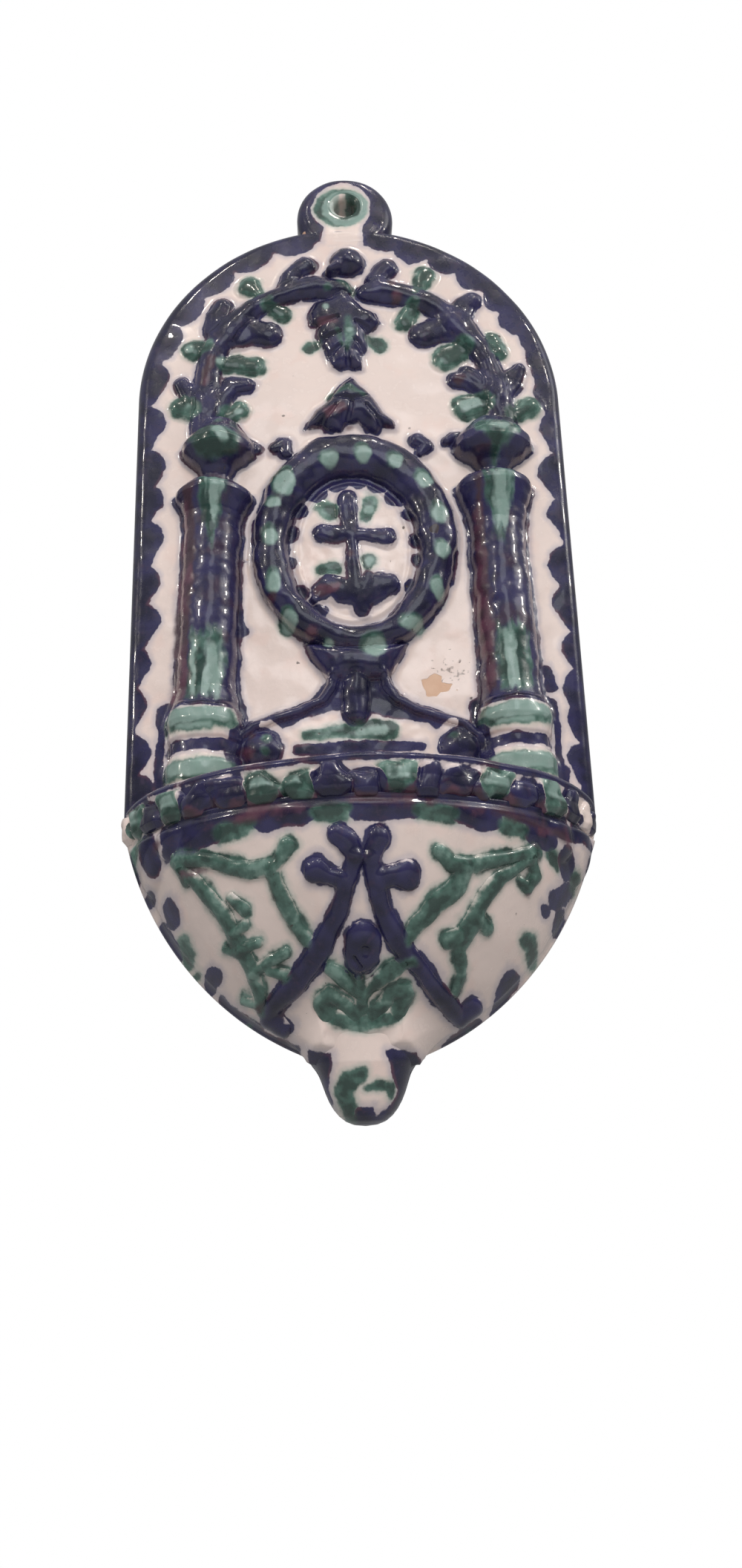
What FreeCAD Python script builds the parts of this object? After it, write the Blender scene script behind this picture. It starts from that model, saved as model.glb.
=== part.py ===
import FreeCAD, Part
import math
import os
import Sketcher

# Wall-hung holy water stoup in glazed earthenware.
# The origin is the middle of the hanging hole, in the plane of the wall.
# +Z is up, the wall is the plane y = 0 and the stoup stands out from it towards -Y.
# Each clay member that the potter forms by itself and joins on with slip is a node of its own.

sizes = {
    # back slab: an arch above, a pointed bowl outline below
    "slab_width": 118.0,
    "slab_thick": 9.0,
    "slab_edge_round": 2.5,
    "arch_to_rim": 118.5,
    "slab_shoulder": 4.5,
    "slab_below_bowl": 2.4,
    "slab_foot_curve": 80.0,
    # lug with the hanging hole
    "hole_radius": 3.0,
    "hole_above_arch": 8.0,
    "lug_radius": 14.2,
    "lug_lift": 11.1,
    "lug_thick": 8.5,
    "lug_edge_round": 2.5,
    # basin, turned about an upright axis behind the wall
    "basin_axis_back": 12.0,
    "basin_inset": 2.5,
    "basin_wall": 5.0,
    "basin_floor_thick": 11.1,
    "bowl_curve": 84.3,
    "bowl_shoulder": 19.0,
    "bowl_tuck": 4.0,
    # frilled rim
    "rim_height": 10.0,
    "rim_wall": 5.0,
    "rim_proud": 2.8,
    "rim_round": 2.0,
    "lip_height": 3.5,
    "lobe_count": 18,
    "lobe_angle": 7.6,
    "notch_radius": 2.6,
    "notch_depth": 1.9,
    # drip finial
    "finial_radius": 12.2,
    "finial_wall_gap": 0.3,
    "finial_seat": 8.5,
    "finial_length": 13.5,
    # columns
    "column_inset": 20.5,
    "shaft_radius": 7.5,
    "collar_radius": 10.3,
    "collar_height": 12.0,
    "collar_lip": 2.5,
    "base_radius": 9.8,
    "base_height": 21.5,
    "base_groove": 1.2,
    "base_above_rim": 2.5,
    "capital_drop": 10.0,
    "capital_height": 16.0,
    "capital_radius": 11.7,
    "capital_top_radius": 5.0,
    "capital_neck_radius": 3.6,
    "capital_neck": 4.0,
    # garland over the columns
    "stem_radius": 2.6,
    "leaf_reach": 7.6,
    "outer_leaf_length": 12.0,
    "inner_leaf_length": 13.0,
    "leaf_width": 7.0,
    "leaf_height": 3.2,
    # buds, pendant leaf and palmette
    "keystone_radius": 5.3,
    "keystone_height": 4.2,
    "bud_to_column": 19.8,
    "bud_radius": 2.8,
    "bud_height": 2.6,
    "pendant_length": 28.0,
    "pendant_width": 6.4,
    "pendant_height": 4.0,
    "pendant_tuck": 1.0,
    "lobe_height": 3.4,
    "palmette_length": 19.0,
    "palmette_width": 8.0,
    "palmette_height": 4.4,
    # oval ring with the medallion
    "ring_drop": 47.0,
    "ring_to_shaft": 4.3,
    "ring_half_height": 27.0,
    "ring_band": 9.4,
    "ring_height": 6.0,
    "ring_round": 4.0,
    "medallion_height": 2.0,
    "cross_height": 4.4,
    "cross_upright": 35.0,
    "cross_arm": 21.0,
    "cross_band": 5.4,
    "cross_sink": 1.0,
    # pedestal under the ring
    "knop_radius": 11.5,
    "knop_half_height": 5.0,
    "knop_height": 5.0,
    "foot_height": 2.4,
    "neck_half_width": 4.0,
    "scroll_curve": 11.0,
    "scroll_radius": 1.9,
    "boss_to_column": 13.5,
    "boss_radius": 5.2,
    "boss_height": 4.6,
    "boss_above_rim": 13.5,
    "drop_length": 12.0,
    "drop_width": 7.0,
    "drop_height": 4.0,
    "drop_tuck": 2.0,
    # relief on the bowl
    "relief_rise": 1.8,
    "relief_clear": 2.5,
    "baton_width": 4.6,
    "spray_width": 4.2,
    "spray_limb_width": 5.6,
    "stroke_ease": 0.3,
    "bowl_boss_radius": 4.0,
}

doc = FreeCAD.newDocument("HolyWaterStoup")
sheet = doc.addObject("Spreadsheet::Sheet", "Sizes")
for row, (alias, number) in enumerate(sizes.items(), start=1):
    sheet.set(f"A{row}", alias)
    sheet.set(f"B{row}", str(number))
    sheet.setAlias(f"B{row}", alias)
doc.recompute()

# Places that several members share, as expressions on the sheet.
arch_z = "(-Sizes.hole_above_arch - Sizes.slab_width / 2)"
rim_z = f"({arch_z} - Sizes.arch_to_rim)"
front_y = "(-Sizes.slab_thick)"
base_z = f"({rim_z} + Sizes.base_above_rim)"
capital_z = f"({arch_z} - Sizes.capital_drop)"
ring_z = f"({arch_z} - Sizes.ring_drop)"
ring_foot_z = f"({ring_z} - Sizes.ring_half_height - Sizes.ring_band / 2)"
boss_z = f"({rim_z} + Sizes.boss_above_rim)"
# Distance from the basin's axis to the slab's front, and the basin's radius under the rim.
axis_to_front = "(Sizes.slab_thick + Sizes.basin_axis_back)"
basin_reach = f"sqrt(pow(Sizes.slab_width / 2 - Sizes.basin_inset; 2) + pow({axis_to_front}; 2))"
# The bowl's wall is an arc in its turned profile: where its centre lies from the axis.
bowl_centre = f"({basin_reach} - sqrt(pow(Sizes.bowl_curve; 2) - pow(Sizes.bowl_shoulder; 2)))"


def bowl_radius(drop, grown="0"):
    """Radius of the bowl's outside, grown outwards, at a drop below the rim's top."""
    fall = f"Sizes.bowl_shoulder - Sizes.rim_height + {drop}"
    return f"({bowl_centre} + sqrt(pow(Sizes.bowl_curve + {grown}; 2) - pow({fall}; 2)))"


def bowl_drop(radius, grown="0"):
    """Drop below the rim's top at which the bowl's outside, grown outwards, has this radius."""
    depth = f"sqrt(pow(Sizes.bowl_curve + {grown}; 2) - pow({radius} - {bowl_centre}; 2))"
    return f"({depth} - Sizes.bowl_shoulder + Sizes.rim_height)"


bowl_depth = bowl_drop(axis_to_front)
bowl_tip_z = f"({rim_z} - {bowl_depth})"
# The columns keep their distance from the slab's edges, and the ring, bosses and buds from the columns.
column_x = "(Sizes.slab_width / 2 - Sizes.column_inset)"
ring_half_width = f"({column_x} - Sizes.shaft_radius - Sizes.ring_to_shaft - Sizes.ring_band / 2)"
boss_x = f"({column_x} - Sizes.boss_to_column)"
bud_x = f"({column_x} - Sizes.bud_to_column)"

facing_out = FreeCAD.Rotation(FreeCAD.Vector(1, 0, 0), 90)
upright = FreeCAD.Rotation()
sides = (("left", -1), ("right", 1))
parts = {}


def value(text):
    """A number, or the value of an expression on the sheet."""
    if isinstance(text, str):
        return float(sheet.evalExpression(text))
    return float(text)


def bind(item, settings):
    """Set the properties of an object, by expression where the setting reads the sheet."""
    for prop, setting in settings.items():
        if isinstance(setting, str) and "Sizes." in setting:
            item.setExpression(prop, setting)
        else:
            setattr(item, prop, setting)


def place(item, x=0, y=0, z=0, turn=upright):
    """Give an object its Placement; a coordinate given as text stays bound to the sheet."""
    item.Placement = FreeCAD.Placement(FreeCAD.Vector(value(x), value(y), value(z)), turn)
    for axis, text in (("x", x), ("y", y), ("z", z)):
        if isinstance(text, str):
            item.setExpression(f"Placement.Base.{axis}", text)


def new_body(name, x=0, y=0, z=0):
    body = doc.addObject("PartDesign::Body", name)
    place(body, x, y, z)
    return body


def new_sketch(body, name, plane):
    sketch = body.newObject("Sketcher::SketchObject", name)
    for datum in body.Origin.OriginFeatures:
        if datum.Role == plane:
            sketch.AttachmentSupport = [(datum, "")]
    sketch.MapMode = "FlatFace"
    return sketch


def pin(sketch, geo, point, axis, text):
    """Hold one coordinate of a sketch point, on the axis line where it is zero."""
    if text == 0:
        sketch.addConstraint(Sketcher.Constraint("PointOnObject", geo, point, -2 if axis == "X" else -1))
        return
    kind = "Distance" + axis
    index = sketch.addConstraint(Sketcher.Constraint(kind, -1, 1, geo, point, value(text)))
    if isinstance(text, str):
        sketch.setExpression(f"Constraints[{index}]", text)


def bent_edge(start, end, radius):
    """The short counter-clockwise arc from start to end."""
    chord = end - start
    lift = math.sqrt(max(radius**2 - (chord.Length / 2) ** 2, 0))
    middle = (start + end) * 0.5 + FreeCAD.Vector(-chord.y, chord.x, 0).normalize() * lift
    circle = Part.Circle(middle, FreeCAD.Vector(0, 0, 1), radius)
    angles = [math.atan2(spot.y - middle.y, spot.x - middle.x) for spot in (start, end)]
    if angles[1] < angles[0]:
        angles[1] += 2 * math.pi
    return Part.ArcOfCircle(circle, *angles)


def draw_outline(sketch, corners):
    """Close an outline over corners (across, up) or (across, up, radius of the edge that leaves it).

    A positive radius bows the edge out of an outline that is drawn counter-clockwise.
    """
    spots = [FreeCAD.Vector(value(c[0]), value(c[1]), 0) for c in corners]
    edges = []
    for i, corner in enumerate(corners):
        start, end = spots[i], spots[(i + 1) % len(spots)]
        bend = value(corner[2]) if len(corner) == 3 else 0
        if bend > 0:
            edges.append((sketch.addGeometry(bent_edge(start, end, bend)), 1, 2))
        elif bend < 0:
            edges.append((sketch.addGeometry(bent_edge(end, start, -bend)), 2, 1))
        else:
            edges.append((sketch.addGeometry(Part.LineSegment(start, end)), 1, 2))
    for i, corner in enumerate(corners):
        geo, first, last = edges[i]
        after = edges[(i + 1) % len(edges)]
        sketch.addConstraint(Sketcher.Constraint("Coincident", geo, last, after[0], after[1]))
        pin(sketch, geo, first, "X", corner[0])
        pin(sketch, geo, first, "Y", corner[1])
        if len(corner) == 3:
            index = sketch.addConstraint(Sketcher.Constraint("Radius", geo, abs(value(corner[2]))))
            sketch.setExpression(f"Constraints[{index}]", f"abs({corner[2]})")
    return edges


def mirrored(corners):
    """The same corners on the other side of the middle, in the order that closes the outline."""
    bends = [corner[2:] for corner in corners]
    flipped = []
    for corner, bend in zip(reversed(corners), reversed([()] + bends[:-1])):
        flipped.append((f"-{corner[0]}", corner[1]) + bend)
    return flipped


def draw_oval(sketch, wide, high):
    """An ellipse about the sketch's origin, held by the ends of its axes, the longer axis first."""
    rise = FreeCAD.Vector(0, value(high), 0)
    side = FreeCAD.Vector(value(wide), 0, 0)
    tall = value(high) > value(wide)
    ends = (rise, side) if tall else (side, rise)
    geo = sketch.addGeometry(Part.Ellipse(*ends, FreeCAD.Vector(0, 0, 0)))
    sketch.exposeInternalGeometry(geo)
    sketch.addConstraint(Sketcher.Constraint("Coincident", geo, 3, -1, 1))
    if tall:
        pin(sketch, geo + 1, 1, "Y", high)
        pin(sketch, geo + 1, 1, "X", 0)
        pin(sketch, geo + 2, 2, "X", wide)
    else:
        pin(sketch, geo + 1, 1, "X", wide)
        pin(sketch, geo + 1, 1, "Y", 0)
        pin(sketch, geo + 2, 1, "Y", high)


def draw_circle(sketch, across, up, radius):
    circle = Part.Circle(FreeCAD.Vector(value(across), value(up), 0), FreeCAD.Vector(0, 0, 1), value(radius))
    geo = sketch.addGeometry(circle)
    pin(sketch, geo, 3, "X", across)
    pin(sketch, geo, 3, "Y", up)
    index = sketch.addConstraint(Sketcher.Constraint("Radius", geo, value(radius)))
    sketch.setExpression(f"Constraints[{index}]", radius)


def feature(body, kind, name, **settings):
    item = body.newObject(f"PartDesign::{kind}", name)
    bind(item, settings)
    body.Tip = item
    doc.recompute()
    return item


def turned(name, corners, x, y, z, half=False):
    """A body turned about its own upright axis; half of it stands out towards -Y."""
    body = new_body(name, x, y, z)
    sketch = new_sketch(body, name + "_profile", "XZ_Plane")
    draw_outline(sketch, corners)
    angle = 180.0 if half else 360.0
    feature(body, "Revolution", name + "_turn", Profile=sketch, ReferenceAxis=(sketch, ["V_Axis"]),
            Angle=angle, Reversed=half)
    return body


def swept_round(name, corners, y, z):
    """A full turn of a profile about an upright line at y, with its zero height at z."""
    sketch = doc.addObject("Sketcher::SketchObject", name + "_profile")
    place(sketch, 0, y, z, facing_out)
    draw_outline(sketch, corners)
    turn = doc.addObject("Part::Revolution", name + "_turn")
    turn.Source = sketch
    turn.Axis = FreeCAD.Vector(0, 0, 1)
    turn.Angle = 360
    turn.Solid = True
    turn.setExpression("Base.y", y)
    return turn


def in_front(name, item):
    """What of an item stands in front of the slab."""
    reach = f"(2 * {basin_reach})"
    room = solid("Box", name + "_room", {"Length": f"2 * {reach}", "Width": reach, "Height": reach},
                 f"-{reach}", f"(-Sizes.slab_thick - {reach})", f"({rim_z} - {reach})")
    both = doc.addObject("Part::Common", name + "_front")
    both.Base = item
    both.Tool = room
    return both


def cut_to_slab(body, name):
    """Cut a body that is turned about the basin's axis off at the slab's front."""
    far = f"(2 * {basin_reach})"
    sketch = new_sketch(body, name + "_slab_side", "XY_Plane")
    draw_outline(sketch, [(f"-{far}", f"-{axis_to_front}"), (far, f"-{axis_to_front}"),
                          (far, far), (f"-{far}", far)])
    feature(body, "Pocket", name + "_slab_cut", Profile=sketch, Type="ThroughAll", Midplane=True)


def solid(kind, name, settings, x=0, y=0, z=0, turn=upright):
    item = doc.addObject(f"Part::{kind}", name)
    bind(item, settings)
    place(item, x, y, z, turn)
    return item


def mound(name, across, up, length, width, height, lean=0.0):
    """Half an ellipsoid on the slab's front; lean turns its length from +X towards +Z."""
    turn = FreeCAD.Rotation(FreeCAD.Vector(0, 1, 0), -lean) * facing_out
    item = solid("Ellipsoid", name, {"Radius1": height, "Radius2": f"{length} / 2",
                                     "Radius3": f"{width} / 2"}, across, front_y, up, turn)
    item.Angle1 = 0
    item.Angle2 = 90
    return item


def joined(name, items):
    if len(items) == 1:
        return items[0]
    fuse = doc.addObject("Part::MultiFuse", name)
    fuse.Shapes = items
    return fuse


def keep(label, item, against=()):
    """Make a node of an item, with the neighbours that it butts against cut out of it."""
    if against:
        cut = doc.addObject("Part::Cut", label + "_seated")
        cut.Base = item
        cut.Tool = joined(label + "_neighbours", [parts[near] for near in against])
        item = cut
    item.Label = label
    parts[label] = item
    return item


def edges_where(body, test):
    """Names of the edges of a body's shape whose middle passes the test."""
    names = []
    for number, edge in enumerate(body.Tip.Shape.Edges, start=1):
        middle = edge.valueAt((edge.FirstParameter + edge.LastParameter) / 2)
        if test(edge, middle):
            names.append(f"Edge{number}")
    return names


def make_slab():
    body = new_body("back_slab_body")
    sketch = new_sketch(body, "slab_outline", "XZ_Plane")
    half, radius = "(Sizes.slab_width / 2)", "(Sizes.slab_width / 2)"
    shoulder = f"({rim_z} - Sizes.slab_shoulder)"
    draw_outline(sketch, [
        (half, shoulder),
        (half, arch_z, radius),
        (0, "-Sizes.hole_above_arch", radius),
        (f"-{half}", arch_z),
        (f"-{half}", shoulder, "Sizes.slab_foot_curve"),
        (0, f"({bowl_tip_z} - Sizes.slab_below_bowl)", "Sizes.slab_foot_curve"),
    ])
    feature(body, "Pad", "slab_pad", Profile=sketch, Length="Sizes.slab_thick")
    depth, lowest = value(front_y), value(shoulder)
    front = edges_where(body, lambda edge, middle: abs(middle.y - depth) < 1e-3 and middle.z > lowest)
    feature(body, "Fillet", "slab_front_round", Base=(body.Tip, front), Radius="Sizes.slab_edge_round")
    keep("back_slab", body)


def make_lug():
    body = new_body("hanging_lug_body")
    sketch = new_sketch(body, "lug_outline", "XZ_Plane")
    draw_circle(sketch, 0, "(Sizes.lug_lift - Sizes.lug_radius)", "Sizes.lug_radius")
    feature(body, "Pad", "lug_pad", Profile=sketch, Length="Sizes.lug_thick")
    depth = -value("Sizes.lug_thick")
    front = edges_where(body, lambda edge, middle: abs(middle.y - depth) < 1e-3)
    feature(body, "Fillet", "lug_front_round", Base=(body.Tip, front), Radius="Sizes.lug_edge_round")
    hole = new_sketch(body, "lug_hole", "XZ_Plane")
    draw_circle(hole, 0, 0, "Sizes.hole_radius")
    feature(body, "Pocket", "lug_hole_cut", Profile=hole, Type="ThroughAll", Midplane=True)
    keep("hanging_lug", body, ["back_slab"])


def make_basin():
    tuck = f"({axis_to_front} - Sizes.bowl_tuck)"
    floor_drop = f"({bowl_depth} - Sizes.basin_floor_thick)"
    blank = swept_round("basin", [
        (tuck, f"-{bowl_drop(tuck)}", "Sizes.bowl_curve"),
        (basin_reach, "-Sizes.rim_height"),
        (bowl_radius("Sizes.rim_height", "-Sizes.basin_wall"), "-Sizes.rim_height",
         "-(Sizes.bowl_curve - Sizes.basin_wall)"),
        (bowl_radius(floor_drop, "-Sizes.basin_wall"), f"-{floor_drop}"),
        (tuck, f"-{floor_drop}"),
    ], "Sizes.basin_axis_back", rim_z)
    keep("basin", in_front("basin", blank))


def make_rim():
    inner = f"({basin_reach} - Sizes.rim_wall)"
    outer = f"({basin_reach} + Sizes.rim_proud)"
    body = turned("rim_body", [(inner, "-Sizes.rim_height"), (outer, "-Sizes.rim_height"),
                               (outer, 0), (inner, 0)], 0, "Sizes.basin_axis_back", rim_z)
    crown = edges_where(body, lambda edge, middle: len(edge.Vertexes) == 1)
    feature(body, "Fillet", "rim_round", Base=(body.Tip, crown), Radius="Sizes.rim_round")
    notch = new_sketch(body, "rim_notch", "XY_Plane")
    notch.setExpression("AttachmentOffset.Base.z", "-Sizes.lip_height")
    middle = f"({outer} + Sizes.notch_radius - Sizes.notch_depth)"
    start = "(90 + Sizes.lobe_count * Sizes.lobe_angle / 2)"
    draw_circle(notch, f"(-{middle} * cos({start} - 180))", f"({middle} * sin({start} - 180) * -1)",
                "Sizes.notch_radius")
    cut = feature(body, "Pocket", "rim_notch_cut", Profile=notch, Type="ThroughAll")
    datum = [item for item in body.Origin.OriginFeatures if item.Role == "Z_Axis"][0]
    feature(body, "PolarPattern", "rim_frill", Originals=[cut], Axis=(datum, [""]),
            Angle="Sizes.lobe_count * Sizes.lobe_angle", Occurrences="Sizes.lobe_count + 1")
    cut_to_slab(body, "rim")
    keep("frilled_rim", body)


def cap_radius(height, half_width):
    """Radius of the round cap that has this height over this half width."""
    return f"((pow({height}; 2) + pow({half_width}; 2)) / (2 * {height}))"


def make_finial():
    axis_y = "(-Sizes.finial_radius - Sizes.finial_wall_gap)"
    belly = "Sizes.finial_radius"
    blank = swept_round("finial", [
        (0, "-Sizes.finial_length", cap_radius("Sizes.finial_length", belly)),
        (belly, 0, cap_radius("Sizes.finial_seat", belly)),
        (0, "Sizes.finial_seat"),
    ], axis_y, bowl_tip_z)
    keep("drip_finial", blank, ["back_slab", "basin"])


def make_columns():
    shaft_foot = f"({base_z} + Sizes.base_height)"
    shaft_top = f"({capital_z} - Sizes.capital_height - Sizes.capital_neck)"
    shaft_length = f"({shaft_top} - {shaft_foot})"
    # The base has two swelling bands and a straight one between them, of one fifth of its height.
    groove = "(Sizes.base_radius - Sizes.base_groove)"
    waist = f"({groove} - Sizes.base_groove / 2)"
    band = "(Sizes.base_height / 5)"
    swell = f"(3 * {band})"
    bulb_z = "(0.45 * Sizes.capital_height)"
    for side, sign in sides:
        across = f"({sign} * {column_x})"
        base = turned(f"{side}_base_body", [
            (0, 0),
            (groove, 0, swell),
            (groove, f"2 * {band}"),
            (waist, f"2 * {band}"),
            (waist, f"3 * {band}"),
            (groove, f"3 * {band}", swell),
            (groove, "Sizes.base_height"),
            (0, "Sizes.base_height"),
        ], across, front_y, base_z, half=True)
        keep(f"{side}_column_base", base)
        shaft = turned(f"{side}_shaft_body", [
            (0, 0),
            ("Sizes.shaft_radius", 0),
            ("Sizes.shaft_radius", f"({shaft_length} - Sizes.collar_height)"),
            ("Sizes.collar_radius", f"({shaft_length} - Sizes.collar_lip)"),
            ("Sizes.capital_neck_radius", shaft_length),
            (0, shaft_length),
        ], across, front_y, shaft_foot, half=True)
        keep(f"{side}_column_shaft", shaft)
        capital = turned(f"{side}_capital_body", [
            (0, "-Sizes.capital_neck"),
            ("Sizes.capital_neck_radius", "-Sizes.capital_neck"),
            ("Sizes.capital_neck_radius", 0),
            ("Sizes.capital_radius", bulb_z, "Sizes.capital_radius"),
            ("Sizes.capital_top_radius", "Sizes.capital_height"),
            (0, "Sizes.capital_height"),
        ], across, front_y, f"({capital_z} - Sizes.capital_height)", half=True)
        keep(f"{side}_capital", capital)


def make_garland():
    # The stem follows a quarter circle about the arch's centre and runs down on to the capital.
    # Leaf angles are degrees from the crown, leans are degrees from the way out of the arch.
    outer_leaves = ((17, 20), (37, -20), (54, 25), (72, -15), (87, 25), (100, -20))
    inner_leaves = ((36, 15), (54, -25), (71, 20), (86, -20), (99, 15))
    for side, sign in sides:
        bend = solid("Torus", f"{side}_stem_bend",
                     {"Radius1": column_x, "Radius2": "Sizes.stem_radius"},
                     0, front_y, arch_z, facing_out if sign > 0 else
                     FreeCAD.Rotation(FreeCAD.Vector(0, 1, 0), -90) * facing_out)
        bend.Angle1 = -180
        bend.Angle2 = 0
        bend.Angle3 = 90
        run = solid("Cylinder", f"{side}_stem_run",
                    {"Radius": "Sizes.stem_radius", "Height": "Sizes.capital_drop"},
                    f"({sign} * {column_x})", front_y, capital_z,
                    FreeCAD.Rotation(FreeCAD.Vector(0, 0, 1), 180))
        run.Angle = 180
        keep(f"{side}_garland_stem", joined(f"{side}_stem", [bend, run]))
        for ring, leaves, way in (("outer", outer_leaves, 1), ("inner", inner_leaves, -1)):
            mounds = []
            for number, (angle, lean) in enumerate(leaves, start=1):
                reach = f"({column_x} + {way} * Sizes.leaf_reach)"
                mounds.append(mound(
                    f"{side}_{ring}_leaf_{number}",
                    f"({sign} * {reach} * sin({angle}))", f"({arch_z} + {reach} * cos({angle}))",
                    f"Sizes.{ring}_leaf_length", "Sizes.leaf_width", "Sizes.leaf_height",
                    90 - sign * (angle + lean)))
            keep(f"{side}_{ring}_leaves", joined(f"{side}_{ring}_sprig", mounds),
                 [f"{side}_garland_stem", f"{side}_capital"])


def make_ring():
    body = new_body("ring_body", 0, front_y, ring_z)
    sketch = new_sketch(body, "ring_outline", "XZ_Plane")
    for grown in ("+", "-"):
        wide = f"({ring_half_width} {grown} Sizes.ring_band / 2)"
        high = f"(Sizes.ring_half_height {grown} Sizes.ring_band / 2)"
        draw_oval(sketch, wide, high)
    feature(body, "Pad", "ring_pad", Profile=sketch, Length="Sizes.ring_height")
    depth = -value("Sizes.ring_height")
    crest = edges_where(body, lambda edge, middle: abs(middle.y - depth) < 1e-3)
    feature(body, "Fillet", "ring_crest", Base=(body.Tip, crest), Radius="Sizes.ring_round")
    keep("ring_frame", body)
    medallion = mound("medallion_dome", 0, ring_z, f"(2 * {ring_half_width})",
                      "(2 * Sizes.ring_half_height)", "Sizes.medallion_height")
    keep("medallion", medallion, ["ring_frame"])
    # Three bars: the upright, the arm above the middle and the foot bar below it.
    arm_up, foot_down = 0.14, 0.6
    cross = []
    for bar, up, length, lean in (("upright", "-Sizes.cross_sink", "Sizes.cross_upright", 90),
                                  ("arm", f"{arm_up} * Sizes.cross_arm", "Sizes.cross_arm", 0),
                                  ("foot", f"-{foot_down} * Sizes.cross_arm", "Sizes.cross_arm", 0)):
        cross.append(mound(f"cross_{bar}_bar", 0, f"({ring_z} + ({up}))", length, "Sizes.cross_band",
                           "Sizes.cross_height", lean))
    keep("medallion_cross", joined("cross_bars", cross), ["medallion"])


def make_crown_pieces():
    keystone_lift = 0.75
    keystone_z = f"({arch_z} + {column_x} + Sizes.stem_radius + {keystone_lift} * Sizes.keystone_radius)"
    keystone = mound("keystone_mound", 0, keystone_z, "(2 * Sizes.keystone_radius)",
                     "(2 * Sizes.keystone_radius)", "Sizes.keystone_height")
    keep("keystone_bud", keystone, ["left_garland_stem", "right_garland_stem"])

    top = f"({arch_z} + {column_x} - Sizes.stem_radius)"
    pendant = [mound("pendant_blade", 0, f"({top} - Sizes.pendant_length / 2 + Sizes.pendant_tuck)",
                     "Sizes.pendant_length", "Sizes.pendant_width", "Sizes.pendant_height", 90)]
    # Pairs of lobes down the blade: share of its length, share of a lobe's length across, lean.
    lobes = ((0.22, 0.45, 10), (0.45, 0.6, 25), (0.7, 0.4, 35))
    lobe_length = "(0.357 * Sizes.pendant_length)"
    lobe_width = "(0.236 * Sizes.pendant_length)"
    for number, (down, across, lean) in enumerate(lobes, start=1):
        for side, sign in sides:
            pendant.append(mound(f"pendant_{side}_lobe_{number}", f"({sign * across} * {lobe_length})",
                                 f"({top} - {down} * Sizes.pendant_length)",
                                 lobe_length, lobe_width, "Sizes.lobe_height", sign * lean))
    keep("pendant_leaf", joined("pendant_lobes", pendant),
         ["left_garland_stem", "right_garland_stem", "left_inner_leaves", "right_inner_leaves"])

    ring_top = f"({ring_z} + Sizes.ring_half_height + Sizes.ring_band / 2)"
    # The blade stands on the ring, and its two feet follow the ring's width.
    blade_lift, foot_lift, foot_lean = 0.45, 0.12, 30
    foot_reach, foot_length, foot_width = 0.327, 0.518, 0.327
    palmette = [mound("palmette_blade", 0, f"({ring_top} + {blade_lift} * Sizes.palmette_length)",
                      "Sizes.palmette_length", "Sizes.palmette_width", "Sizes.palmette_height", 90)]
    for side, sign in sides:
        palmette.append(mound(f"palmette_{side}_foot", f"({sign * foot_reach} * {ring_half_width})",
                              f"({ring_top} + {foot_lift} * Sizes.palmette_length)",
                              f"({foot_length} * {ring_half_width})", f"({foot_width} * {ring_half_width})",
                              "Sizes.palmette_height", -sign * foot_lean))
    keep("palmette", joined("palmette_lobes", palmette), ["ring_frame"])

    for side, sign in sides:
        bud = mound(f"{side}_bud_mound", f"({sign} * {bud_x})",
                    f"({ring_top} - Sizes.bud_radius)", "(2 * Sizes.bud_radius)",
                    "(2 * Sizes.bud_radius)", "Sizes.bud_height")
        keep(f"{side}_bud", bud)


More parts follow.
